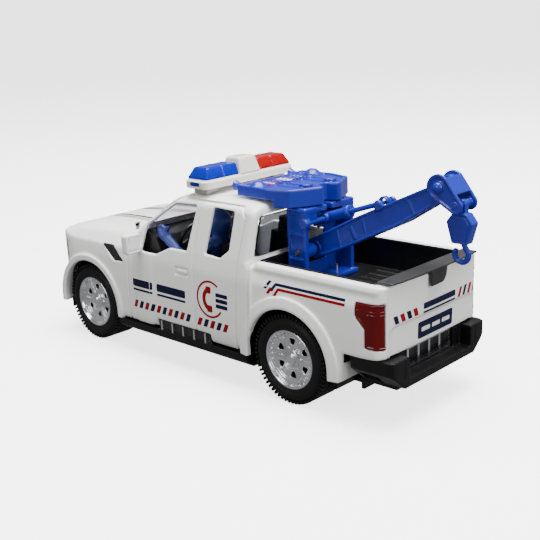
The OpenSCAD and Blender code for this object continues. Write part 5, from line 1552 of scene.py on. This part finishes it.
@dataclass
class SirenRack:
    """Blue deck behind the light bar with two horns, two domes and rear bosses."""

    half_w: float = 26.0
    deck_h: float = 3.4
    dome_x: float = 20.6
    dome_r: float = 5.2

    def plan(self) -> list[Pair]:
        """Outline from above."""
        w, rear, front = self.half_w, LAYOUT.cab_rear_y, LAYOUT.front_axle_y + 104
        return fillet(mirrored([
            (0, front + 5, 0), (w - 9, front + 5, 1), (w - 1, front + 4, 1.5), (w, rear - 1, 1.5),
            (w - 3.4, rear + 11.3, 1.5), (7, rear + 19.1, 1), (5.2, rear + 18.7, 0.6), (3.2, rear + 13.1, 1),
            (0, rear + 12.5, 0)]))

    def shape(self, x: Array, y: Array, z: Array) -> Array:
        """The whole rack for x above zero."""
        roof, rear, front = LAYOUT.roof_z, LAYOUT.cab_rear_y, LAYOUT.front_axle_y + 104
        top = roof + 1.2 + self.deck_h
        plan = outline(x, y, self.plan())
        deck = combine(plan, slab(z, roof - 5, top), 0.6)
        hollow = np.maximum(np.maximum(plan + 1.6, z - roof - 1.2), y - rear - 1.5)
        deck = cut(deck, hollow, 0.3)
        cab = np.maximum(outline(x, z, BodyShell().cab()) - 0.3, slab(y, front - 5, rear + 2.6))
        deck = np.maximum(deck, -cab)
        deck = cut(deck, box(x, y, z, (-50, rear - 1, roof - 12), (50, rear + 3, roof - 4), 0.2), 0.3)
        deck = cut(deck, box(x, y, z, (-50, rear + 2.9, 60), (50, rear + 40, 91.2), 0.2), 0.3)
        deck = cut(deck, np.maximum(plan + 2.2, top - 0.9 - z), 0.4)
        rail = np.maximum(np.minimum(np.abs(x - 6.6), np.minimum(np.abs(x - 13.0),
            np.abs(y - rear + 6))) - 0.4,
                          np.maximum(plan + 1.8, slab(z, top - 1.2, top - 0.25)))
        deck = smooth_min(deck, rail, 0.4)
        at = front + 15
        dome = np.sqrt((x - self.dome_x) ** 2 + (y - at) ** 2 + (z - top + 2.8) ** 2) - self.dome_r
        deck = smooth_min(deck, np.maximum(dome, top - 1 - z), 0.3)
        pad = rod(x, y, z, (self.dome_x, at), 4.6, top - 1.2, top + 0.25, 0.3)
        deck = smooth_min(deck, pad, 0.3)
        boss = rod(x, y, z, (9, rear + 10.5), 3.4, top - 1, top + 1.2, 0.5)
        deck = smooth_min(deck, boss, 0.5)
        r = np.hypot(x - self.dome_x, z - roof - 3.1)
        along = y - front + 0.6
        flare = 0.95 + 1.9 * np.exp(-np.clip(along, 0, 20) / 2.4)
        horn = smooth_max(r - flare, slab(along, 0, 11), 0.3)
        bell = np.maximum(r - flare + 0.7, slab(along, -1, 1.6))
        deck = smooth_min(deck, cut(horn, bell, 0.2), 0.5)
        stem = np.maximum(rod(x, y, z, (13, front + 12), 3, roof - 1.2, roof + 1.4, 0.2), -cab - 0.28)
        return np.minimum(deck, stem)

    def build(self) -> None:
        """Moulds the rack and lays its plain deck plates."""
        rear, front = LAYOUT.cab_rear_y, LAYOUT.front_axle_y + 104
        top = LAYOUT.roof_z + 1.2 + self.deck_h
        step = 0.38
        rack = Moulding("rack_moulding", self.shape, (0, front - 2, LAYOUT.roof_z - 6),
            (self.half_w + 1, rear + 20, top + 3),
                        step, True)
        fit(rack.build(), CRANE_BLUE, "crane_blue", "truck", "roof_rack", "rack_domes")
        plates = ((PRINT_RED, 14.6, front + 7.4, rear - 7.4, 0.0),
            (PRINT_LILAC, 12.4, front + 8.6, rear - 8.8, 0.12))
        for finish, half, y0, y1, lift in plates:
            plate = Moulding(finish.name + "_plate",
                             lambda x, y, z: box(x, y, z, (-half, y0, top - 0.95),
                             (half, y1, top - 0.55 + lift), 0.1),
                             (-half - 1, y0 - 1, top - 2), (half + 1, y1 + 1, top + 1), 0.3)
            fit(plate.build(0.02), finish, "crane_blue", "truck")
        bars = RowArray("deck_ribs", CRANE_BLUE, 5, (8.4, 0.7, 0.5), (0, 2.4, 0))
        for side, name in ((1, "left"), (-1, "right")):
            ribs = bars.build((side * 6.6, front + 10.4, top - 0.3))
            ribs.name = "deck_ribs_" + name
            fit(ribs, CRANE_BLUE, "crane_blue", "truck")


# ------------------------------------------------------------------ rear end, bed and trims
@dataclass
class RearEnd:
    """Rear bumper with its bright step bars, tail lamps, bed liner and tailgate cap."""

    step_half_w: float = 19.5
    bar_count: int = 5
    bar_pitch: float = 8.6
    rib_pitch: float = 1.7

    def bumper_shape(self, x: Array, y: Array, z: Array) -> Array:
        """Stepped bumper for x above zero, with a box recess in its middle."""
        s, w, low = LAYOUT, LAYOUT.half_w, LAYOUT.bumper_z - 14.8
        tail, top = s.tail_y, s.bumper_z - 0.2
        body = box(x, y, z, (-5, tail - 20, low), (w, tail + 4.5, top), 0.8)
        front = outline(x, z, fillet(mirrored([(w - 14.5, low, 1), (w - 5.6, low + 7.6, 1),
            (w - 4.4, top + 2, 0)])))
        plan = outline(x, y, fillet(mirrored([(w - 2, tail - 20, 0), (w - 2, tail - 3, 2),
            (w - 6, tail + 4, 1.5),
                                              (w - 8, tail + 4.5, 1), (0, tail + 4.5, 0)])))
        body = smooth_max(smooth_max(body, front, 0.6), plan, 0.6)
        half = self.step_half_w
        body = cut(body, box(x, y, z, (-5, tail - 2, low + 4), (half + 6, tail + 7, top + 3), 0.8), 0.5)
        body = cut(body, box(x, y, z, (-5, tail - 5, low + 4.4), (half, tail + 1, top + 3), 0.6), 0.4)
        body = cut(body, box(x, y, z, (-5, tail - 18, low - 3), (w - 9, tail - 7, top + 3), 0.3), 0.3)
        body = cut(body, box(x, y, z, (-5, tail - 25, low - 3), (27, tail - 10, top + 3), 0.3), 0.3)
        ridge = np.maximum(np.abs(x - half - 3.2 + 0.25 * (z - low - 9)) - 0.6, slab(z, low + 5.5, top - 0.6))
        body = smooth_min(body, np.maximum(ridge, slab(y, tail - 3, tail - 1.2)), 0.5)
        line = np.maximum(np.abs(z - low - 3.1) - 0.3, np.maximum(tail + 4.0 - y, x - half - 6))
        body = cut(body, line, 0.3)
        notch = np.maximum(np.abs(x - half - 9.6) - 0.35, np.maximum(tail + 4.0 - y, low + 4.5 - z))
        return cut(body, notch, 0.3)

    def lamp_shape(self, x: Array, y: Array, z: Array, shell: BodyShell, near: float, far: float,
            inset: float) -> Array:
        """A layer of the tail lamp that follows the body's skin.

        Args:
            x, y, z: The grid.
            shell: The body whose form it follows.
            near: Depth of its outer face.
            far: Depth of its inner face.
            inset: Gap to the lamp's opening.

        Returns:
            The field.
        """
        form = shell.form(x, y, z)
        pane = outline(y, z, fillet([(u, v, 0.8) for u, v in TailLamp.pane(inset)]))
        return np.maximum(np.maximum(form + near, -(form + far)),
            np.maximum(pane, LAYOUT.half_w - 7.15 + inset * 0.5 - x))

    def lens_shape(self, x: Array, y: Array, z: Array) -> Array:
        """Outer lens with a raised border and a double line near its top."""
        shell = BodyShell()
        lens = self.lamp_shape(x, y, z, shell, 0.12, 1.2, 0.25)
        pane = outline(y, z, TailLamp.pane(0.0))
        border = np.maximum(self.lamp_shape(x, y, z, shell, -0.1, 1.2, 0.25), -(pane + 1.3))
        top = LAYOUT.bumper_z + 20.6
        lines = np.minimum(np.abs(z - top) - 0.25, np.abs(z - top - 1.6) - 0.25)
        lines = np.maximum(self.lamp_shape(x, y, z, shell, -0.05, 1.2, 0.6), lines)
        return smooth_min(smooth_min(lens, border, 0.3), lines, 0.2)

    def ribs_shape(self, x: Array, y: Array, z: Array) -> Array:
        """Dark ribbed reflector behind the lens."""
        wave = 0.35 * np.cos(2 * math.pi * z / self.rib_pitch) + 0.2 * np.cos(2 * math.pi * (y + x) / 3.4)
        form = BodyShell().form(x, y, z)
        pane = outline(y, z, TailLamp.pane(0.5))
        return np.maximum(np.maximum(form + 1.75 + wave, -(form + 3.1)),
            np.maximum(pane, LAYOUT.half_w - 6.8 - x))

    def liner_shape(self, x: Array, y: Array, z: Array) -> Array:
        """Open black tub with a ribbed floor, for x above zero."""
        low, high = node_box("bed_liner")
        tub = box(x, y, z, (-5, low[1], low[2]), (high[0], high[1], high[2]), 0.6)
        inside = box(x, y, z, (-5, low[1] + 1.5, low[2] + 1.5), (high[0] - 1.5, high[1] - 1.5, high[2] + 6),
            0.9)
        tub = cut(tub, inside, 0.5)
        lines = np.abs((x + 3.5) % 7.0 - 3.5) - 0.5
        ribs = np.maximum(lines, box(x, y, z, (-5, low[1] + 24, low[2] + 1),
            (high[0] - 4, high[1] - 4, low[2] + 1.9), 0.2))
        for at in (-11.0, 11.0):
            pivot = joint_place("boom_lift")[1]
            tub = np.maximum(tub, -np.maximum(np.hypot(x - at, y - pivot) - 1.1, low[2] + 1.6 - z))
        return smooth_min(tub, ribs, 0.3)

    def cap_shape(self, x: Array, y: Array, z: Array) -> Array:
        """Grey rail along the tailgate with a hanging lens housing."""
        s, w = LAYOUT, LAYOUT.half_w
        front, tail, rail = s.tail_y - 7, s.tail_y, s.rail_z
        plan = outline(x, y, fillet(mirrored([(w - 8.4, front + 0.2, 0.6), (w - 8.4, tail + 1.4, 0.8),
                                              (w - 24, tail + 2.6, 20), (0, tail + 3, 0)])))
        cap = combine(plan, slab(z, rail + 0.05, rail + 1.2), 0.5)
        dip = np.maximum(plan + 1.4, rail + 0.95 - z)
        cap = cut(cap, dip, 0.4)
        tab = outline(x, z, fillet([(-6.5, rail + 0.3, 0), (6.5, rail + 0.3, 0), (6.2, rail - 6.8, 1),
            (-3.6, rail - 6.4, 1),
                                    (-5.8, rail - 3.6, 1)]))
        tab = combine(tab, slab(y, tail + 1.6, tail + 3), 0.4)
        return smooth_min(cap, tab, 0.4)

    def build(self) -> None:
        """Moulds the rear end."""
        s, w, tail = LAYOUT, LAYOUT.half_w, LAYOUT.tail_y
        step = 0.4
        bumper = Moulding("rear_bumper_moulding", self.bumper_shape, (0, tail - 20, s.bumper_z - 15),
            (w, tail + 5, s.bumper_z),
                          step, True)
        fit(bumper.build(), DARK_SATIN, "chassis_black", "truck", "rear_bumper")
        half, top = self.step_half_w, s.bumper_z - 0.4
        back = Moulding("step_backing", lambda x, y, z: box(x, y, z, (-half + 0.5, tail - 5, top - 9.8),
            (half - 0.5, tail - 3.9, top), 0.3),
                        (-half, tail - 6, top - 11), (half, tail - 3, top + 1), 0.4)
        fit(back.build(), DARK_GLOSS, "trim_bright", "truck", "rear_trim")
        posts = RowArray("step_bars", PLATED, self.bar_count, (1.5, 1.3, 9.6), (self.bar_pitch, 0, 0))
        fit(posts.build((-2 * self.bar_pitch, tail - 3.2, top - 4.9)), PLATED, "trim_bright", "truck")
        rungs = RowArray("step_rungs", PLATED, 2, (2 * half - 1.4, 0.7, 0.5), (0, 0, 8.8))
        fit(rungs.build((0, tail - 3.5, top - 9.4)), PLATED, "trim_bright", "truck")
        teeth = RowArray("step_teeth", PLATED, 21, (0.8, 0.9, 0.7), (1.75, 0, 0))
        fit(teeth.build((-17.5, tail - 3.4, top - 9.0)), PLATED, "trim_bright", "truck")
        low, high = node_box("taillight_left")
        for side, turn in (("left", 1), ("right", -1)):
            for name, shape, finish, slot, nodes in (
                    ("tail_lens_", self.lens_shape, RUBY_LENS, "lens_ruby", ("taillight_" + side,)),
                    ("tail_ribs_", self.ribs_shape, RUBY_DARK, "lens_ruby", ())):
                corner = (low[0] - 2, low[1], low[2]), high
                if turn < 0:
                    corner = (-corner[1][0], corner[0][1], corner[0][2]), (-corner[0][0], corner[1][1],
                        corner[1][2])
                layer = Moulding(name + side, lambda x, y, z, f=shape, t=turn: f(x * t, y, z), *corner,
                    step=step * 0.9)
                fit(layer.build(), finish, slot, "truck", *nodes)
        low, high = node_box("bed_liner")
        liner = Moulding("bed_tub", self.liner_shape, (0, low[1], low[2]), high, 0.45,
            True)
        fit(liner.build(), TUB_BLACK, "chassis_black", "truck", "bed_liner")
        low, high = node_box("tailgate_cap")
        cap = Moulding("tailgate_rail", self.cap_shape, low, high, step)
        fit(cap.build(), RAIL_GREY, "chassis_black", "truck", "tailgate_cap")


@dataclass
class SideDetails:
    """Sill trims, running boards and door mirrors."""

    bars: int = 5
    pitch: float = 8.6

    def mirror_shape(self, x: Array, y: Array, z: Array) -> Array:
        """A door mirror on its arm, for x above zero."""
        w, cowl = LAYOUT.half_w, LAYOUT.cowl_y
        shell = np.maximum(np.abs(x - w - 4.9) - 3.2, np.abs(z - 66.2) - 3.8)
        flat = np.hypot(np.maximum(np.abs(x - w - 4.9) - 3.2, 0), np.maximum(np.abs(z - 66.2) - 3.8, 0)) - 1.6
        shell = combine(np.where(flat > -1.6, flat, shell), slab(y, cowl + 3.0, cowl + 8.0), 0.9)
        arm = box(x, y, z, (w - 3, cowl + 3.6, 61.4), (w + 2.4, cowl + 6.6, 63.8), 0.7)
        arm = np.maximum(arm, -(outline(x, z, BodyShell().cab()) - 0.05))
        return smooth_min(shell, arm, 0.8)

    def board_shape(self, x: Array, y: Array, z: Array) -> Array:
        """A running board with a stepped outer edge, for x above zero."""
        w = LAYOUT.half_w
        y0, y1 = LAYOUT.front_axle_y + LAYOUT.arch_r + 1.4, LAYOUT.rear_axle_y - LAYOUT.arch_r - 1.2
        board = box(x, y, z, (w - 7.6, y0, 12.2), (w + 0.35, y1, 18.7), 0.6)
        shelf = box(x, y, z, (w - 1.6, y0 - 3, 16.2), (w + 4, y1 + 3, 20), 0.3)
        board = cut(board, shelf, 0.5)
        bevel = (x - w) * 0.55 + (15.3 - z) * 0.83 - 0.1
        board = smooth_max(board, bevel, 0.5)
        notch = box(x, y, z, (w - 1.4, LAYOUT.cowl_y + 15.4, 15.6), (w + 3, LAYOUT.cowl_y + 58.6, 17), 0.4)
        return cut(board, notch, 0.4)

    def build(self) -> None:
        """Moulds the trims, boards and mirrors."""
        s, w = LAYOUT, LAYOUT.half_w
        step = 0.4
        y0, y1 = s.cowl_y + 16.3, s.cowl_y + 57.7
        for side, name in ((1, "left"), (-1, "right")):
            turn = side
            x0, x1 = sorted((turn * (w - 2.6), turn * (w - 1.5)))
            back = Moulding("sill_backing_" + name,
                            lambda x, y, z, a=x0, b=x1: box(x, y, z, (a, y0, s.sill_z - 1),
                            (b, y1, s.sill_z + 5.4), 0.2),
                            (x0 - 1, y0 - 1, s.sill_z - 2), (x1 + 1, y1 + 1, s.sill_z + 6), 0.4)
            fit(back.build(), DARK_GLOSS, "trim_bright", "truck", *(("side_trims",) if side > 0 else ()))
            bars = RowArray("sill_bars_" + name, PLATED, self.bars, (1.3, 1.1, 6.0), (0, self.pitch, 0))
            fit(bars.build((turn * (w - 1.0), y0 + 3.4, s.sill_z + 2.2)), PLATED, "trim_bright", "truck")
            teeth = RowArray("sill_teeth_" + name, PLATED, 20, (1.2, 0.9, 0.7), (0, 2.1, 0))
            fit(teeth.build((turn * (w - 0.9), y0 + 0.9, s.sill_z - 0.4)), PLATED, "trim_bright", "truck")
            low, high = node_box("mirror_" + name)
            mirror = Moulding("door_mirror_" + name, lambda x, y, z, t=turn: self.mirror_shape(x * t, y, z),
                low, high, step)
            fit(mirror.build(), BODY_WHITE, "body_white", "truck", "mirror_" + name)
        y0, y1 = s.front_axle_y + s.arch_r, s.rear_axle_y - s.arch_r
        boards = Moulding("running_boards", self.board_shape, (0, y0, 12), (w + 0.6, y1, 19), step, True)
        fit(boards.build(), DARK_SATIN, "chassis_black", "truck")


# ------------------------------------------------------------------ cab inside
@dataclass
class CabInside:
    """Black steering wheel with a plain blue figure at the wheel; the black seats stay as CAD nodes."""

    seat_x: float = 18.0

    def figure_shape(self, x: Array, y: Array, z: Array) -> Array:
        """Plain seated figure, smooth and faceless."""
        cx, cy, cz = self.seat_x, LAYOUT.cowl_y + 47, 48.4

        def limb(a: Triple, b: Triple, ra: float, rb: float) -> Array:
            """A limb between two places given from the figure's seat."""
            return capsule(x, y, z, (cx + a[0], cy + a[1], cz + a[2]), (cx + b[0], cy + b[1], cz + b[2]), ra,
                rb)

        torso = box(x, y, z, (cx - 9, cy - 7.6, cz), (cx + 9, cy + 1.2, cz + 20), 3.4)
        neck = limb((0, -3, 19), (0, -3, 26), 4.6, 4.4)
        head = np.sqrt((x - cx) ** 2 + (y - cy + 3) ** 2 + ((z - cz - 29) * 0.92) ** 2) - 6.2
        body = smooth_min(smooth_min(torso, neck, 3.0), head, 2.4)
        right = smooth_min(limb((-10, -3, 17.5), (-12.2, -10, 9), 3, 2.7),
            limb((-12.2, -10, 9), (-9.4, -21, 14), 2.7, 2.1), 1)
        left = smooth_min(limb((10, -3, 17.5), (14.2, -18, 10), 3, 2.8),
            limb((14.2, -18, 10), (15.3, -30.6, 21), 2.7, 2.5), 1)
        hand = smooth_min(limb((15.3, -30.6, 21), (15.4, -32.3, 24), 3.0, 2.6),
            limb((15, -30.6, 22.4), (14.6, -28.6, 25), 1.4, 1.1), 0.6)
        return smooth_min(smooth_min(body, right, 1.5), smooth_min(left, hand, 0.8), 1.5)

    def wheel_shape(self, x: Array, y: Array, z: Array) -> Array:
        """Steering wheel in its own plane: a rim, three spokes and a boss."""
        r = np.hypot(x, y)
        solid = np.hypot(r - 8, z) - 1.1
        angle = np.arctan2(y, x)
        third = 2 * math.pi / 3
        off = r * np.sin((angle - math.pi / 2 + third / 2) % third - third / 2)
        along = r * np.cos((angle - math.pi / 2 + third / 2) % third - third / 2)
        spoke = np.maximum(np.hypot(off, z * 1.3) - 0.95, slab(along, 0, 8))
        boss = combine(r - 2.4, np.abs(z) - 1, 0.5)
        stem = combine(r - 1.3, slab(z, -6.2, 0), 0.2)
        return smooth_min(smooth_min(solid, spoke, 0.6), np.minimum(boss, stem), 0.5)

    def build(self) -> None:
        """Moulds the figure and the wheel."""
        low, high = node_box("driver")
        figure = Moulding("figure", self.figure_shape, low, high, 0.5)
        fit(figure.build(), FIGURE_BLUE, "figure_blue", "truck", "driver")
        place = Matrix.Translation((self.seat_x, LAYOUT.cowl_y + 21, 66)) @ Matrix.Rotation(math.radians(68),
            4, "X")
        wheel = Moulding("steering_rim", self.wheel_shape, (-10, -10, -7), (10, 10, 2), 0.4, place=place)
        fit(wheel.build(), DARK_GLOSS, "interior_black", "truck", "steering_wheel")


# ------------------------------------------------------------------ front end
@dataclass
class NoseDetails:
    """Grille with plated bars, headlamp reflectors and the front bumper."""

    def bumper_shape(self, x: Array, y: Array, z: Array) -> Array:
        """Front bumper with an intake and two lamp pockets, for x above zero."""
        low, high = node_box("front_bumper")
        nose, w = LAYOUT.nose_y, LAYOUT.half_w
        solid = box(x, y, z, (-5, nose, low[2]), (w, high[1], high[2]), 0.8)
        solid = smooth_max(solid, outline(x, y, BodyShell().plan()) + 0.2, 0.8)
        solid = smooth_max(solid, (nose - y) * 0.857 + (low[2] + 5 - z) * 0.514, 0.8)
        solid = cut(solid, box(x, y, z, (-5, nose + 4.5, low[2] - 3), (w - 10, nose + 20, high[2] + 3), 0.3),
            0.3)
        intake = box(x, y, z, (-5, nose - 3, low[2] + 6), (17, nose + 2.2, low[2] + 13.5), 0.8)
        solid = cut(solid, intake, 0.6)
        lamp = rod(x, z, y, (24, low[2] + 11), 3, nose - 3, nose + 3, 0.3)
        return cut(solid, lamp, 0.5)

    def reflector_shape(self, x: Array, y: Array, z: Array) -> Array:
        """Bright bowl with a bulb behind each headlamp, for x above zero."""
        nose = LAYOUT.nose_y
        form = BodyShell().form(x, y, z)
        pane = outline(x, z, FrontEnd.lamp_pane(0.6))
        wave = 0.3 * np.cos(2 * math.pi * x / 1.8)
        bowl = np.maximum(np.maximum(form + 1.8 + wave, -(form + 3.2)), np.maximum(pane, y - nose - 11))
        bulb = np.sqrt((x - 33) ** 2 + (y - nose - 5.5) ** 2 + (z - 51) ** 2) - 2.2
        return np.minimum(bowl, np.maximum(bulb, -(form + 5.5)))

    def build(self) -> None:
        """Moulds the front end."""
        nose, w = LAYOUT.nose_y, LAYOUT.half_w
        step = 0.45
        low, high = node_box("front_bumper")
        bumper = Moulding("front_bumper_moulding", self.bumper_shape, (0, low[1], low[2]), high, step, True)
        fit(bumper.build(), DARK_SATIN, "chassis_black", "truck", "front_bumper")
        bowls = Moulding("headlamp_bowls", self.reflector_shape, (0, nose, 44), (w, nose + 12, 59), step,
            True)
        fit(bowls.build(), PLATED, "trim_bright", "truck")
        bars = RowArray("grille_bars", PLATED, 3, (34.5, 0.7, 1.1), (0, 0, 4.6))
        fit(bars.build((0, nose + 0.75, 41.7)), PLATED, "grille_black", "truck")
        slats = RowArray("grille_slats", DARK_GLOSS, 13, (0.5, 0.6, 17.5), (2.6, 0, 0))
        fit(slats.build((-15.6, nose + 1.5, 47.6)), DARK_GLOSS, "grille_black", "truck")
        fog = RowArray("fog_lamps", CLEAR_LENS, 2, (4.2, 1.0, 4.2), (48, 0, 0))
        fit(fog.build((-24, nose + 2.4, low[2] + 11)), PLATED, "lens_clear", "truck")


# ------------------------------------------------------------------ studio
@dataclass
class Studio:
    """Pale floor, soft lights and the camera."""

    azimuth: float = 133.86
    pitch: float = 15.81
    roll: float = -2.44
    eye: Triple = (337.2, 331.5, 181.9)
    lens_mm: float = 60.6
    floor_r: float = 3.0
    wall_r: float = 2.0
    glow: float = 2.6
    surround: float = 0.3
    lamps: tuple[tuple[str, Triple, float, float], ...] = (
        ("overhead", (-0.1, 0.1, 1.3), 1.0, 62), ("tail_side", (0.0, 1.4, 0.6), 0.6, 12),
        ("door_side", (1.3, -0.1, 0.5), 0.5, 5))

    def sweep(self) -> list[Pair]:
        """Half section of the floor and the round wall that it curves into, in metres."""
        turn = np.linspace(0, math.pi / 2, 10)
        curve = [(self.floor_r + self.wall_r * math.sin(a), self.wall_r * (1 - math.cos(a))) for a in turn]
        return [(0.5, 0.0), *curve, (self.floor_r + self.wall_r, self.wall_r + 0.5)]

    def camera(self) -> None:
        """Places the camera at the viewing angle."""
        a, p, r = (math.radians(v) for v in (self.azimuth, self.pitch, self.roll))
        ahead = Vector((-math.sin(a) * math.cos(p), math.cos(a) * math.cos(p), -math.sin(p)))
        right = ahead.cross(Vector((0, 0, 1))).normalized()
        up = right.cross(ahead)
        right, up = right * math.cos(r) + up * math.sin(r), up * math.cos(r) - right * math.sin(r)
        data = bpy.data.cameras.new("camera")
        data.lens = self.lens_mm
        data.sensor_width = 36
        data.clip_start = 0.01
        camera = bpy.data.objects.new("camera", data)
        turn = Matrix((right, up, -ahead)).transposed().to_4x4()
        camera.matrix_world = Matrix.Translation(Vector(self.eye) * MM) @ turn
        bpy.context.scene.collection.objects.link(camera)
        bpy.context.scene.camera = camera

    def light(self, name: str, place: Triple, size: float, power: float, colour: Colour = (1, 1, 1)) -> None:
        """Hangs one soft box.

        Args:
            name: Its name.
            place: Its centre, in metres; it faces the truck.
            size: Side of its square, in metres.
            power: Its power in watts.
            colour: Its tint.
        """
        data = bpy.data.lights.new(name, "AREA")
        data.size = size
        data.energy = power
        data.color = colour
        lamp = bpy.data.objects.new(name, data)
        away = Vector(place) - Vector((0, 0, 0.04))
        lamp.matrix_world = Matrix.Translation(place) @ away.to_track_quat("Z", "Y").to_matrix().to_4x4()
        bpy.context.scene.collection.objects.link(lamp)

    def build(self) -> None:
        """Sets up floor, lights, surroundings and camera."""
        mesh = bpy.data.meshes.new("floor")
        grid = bmesh.new()
        rings = [[grid.verts.new((r * math.cos(a), r * math.sin(a), z)) for a in np.linspace(0, 2 * math.pi,
            96, False)]
                 for r, z in self.sweep()]
        grid.faces.new(rings[0])
        for near, far in zip(rings, rings[1:]):
            for k in range(len(near)):
                grid.faces.new([near[k - 1], far[k - 1], far[k], near[k]])
        bmesh.ops.recalc_face_normals(grid, faces=grid.faces[:])
        grid.to_mesh(mesh)
        grid.free()
        mesh.polygons.foreach_set("use_smooth", np.ones(len(mesh.polygons), bool))
        floor = bpy.data.objects.new("floor", mesh)
        bpy.context.scene.collection.objects.link(floor)
        dress(floor, Finish("floor_paper", (0.9, 0.9, 0.9), 0.9, 0.03, 0.01, 0.02, 2.0))
        shader = floor.data.materials[0].node_tree.nodes["Principled BSDF"]
        shader.inputs["Emission Color"].default_value = (1, 1, 1, 1)
        shader.inputs["Emission Strength"].default_value = self.glow
        floor.visible_diffuse = False
        floor.visible_glossy = False
        floor.visible_transmission = False
        for name, place, size, power in self.lamps:
            self.light(name, place, size, power)
        world = bpy.data.worlds.new("surround")
        world.use_nodes = True
        world.node_tree.nodes["Background"].inputs["Color"].default_value = (1, 1, 1, 1)
        world.node_tree.nodes["Background"].inputs["Strength"].default_value = self.surround
        bpy.context.scene.world = world
        self.camera()


def dress_frame() -> None:
    """Gives every CAD node the finish of its slot."""
    slots = {part["node"]: part["material_slot"] for part in frame["record"]["subparts"]}
    for name, node in frame["nodes"].items():
        dress(node, SLOT_FINISH[slots[name]])
        node.data.polygons.foreach_set("use_smooth", np.zeros(len(node.data.polygons), bool))
    LOG.info("dressed %d CAD nodes", len(frame["nodes"]))


def main() -> None:
    """Builds every piece in order and reports it."""
    logging.basicConfig(level=logging.INFO, format="%(name)s %(message)s")
    Studio().build()
    dress_frame()
    shell = BodyShell()
    wheels = [Wheel(f"{end}_{name}", side, y, end + "_wheels")
              for end, y in (("front", LAYOUT.front_axle_y), ("rear", LAYOUT.rear_axle_y))
              for name, side in (("left", 1), ("right", -1))]
    shell.build()
    for part in (Prints(shell.skin), *wheels, Crane(), LightBar(), SirenRack(), RearEnd(), SideDetails(),
            CabInside(),
                 NoseDetails()):
        part.build()
        LOG.info("built %s", type(part).__name__)


if __name__ == "__main__":
    main()
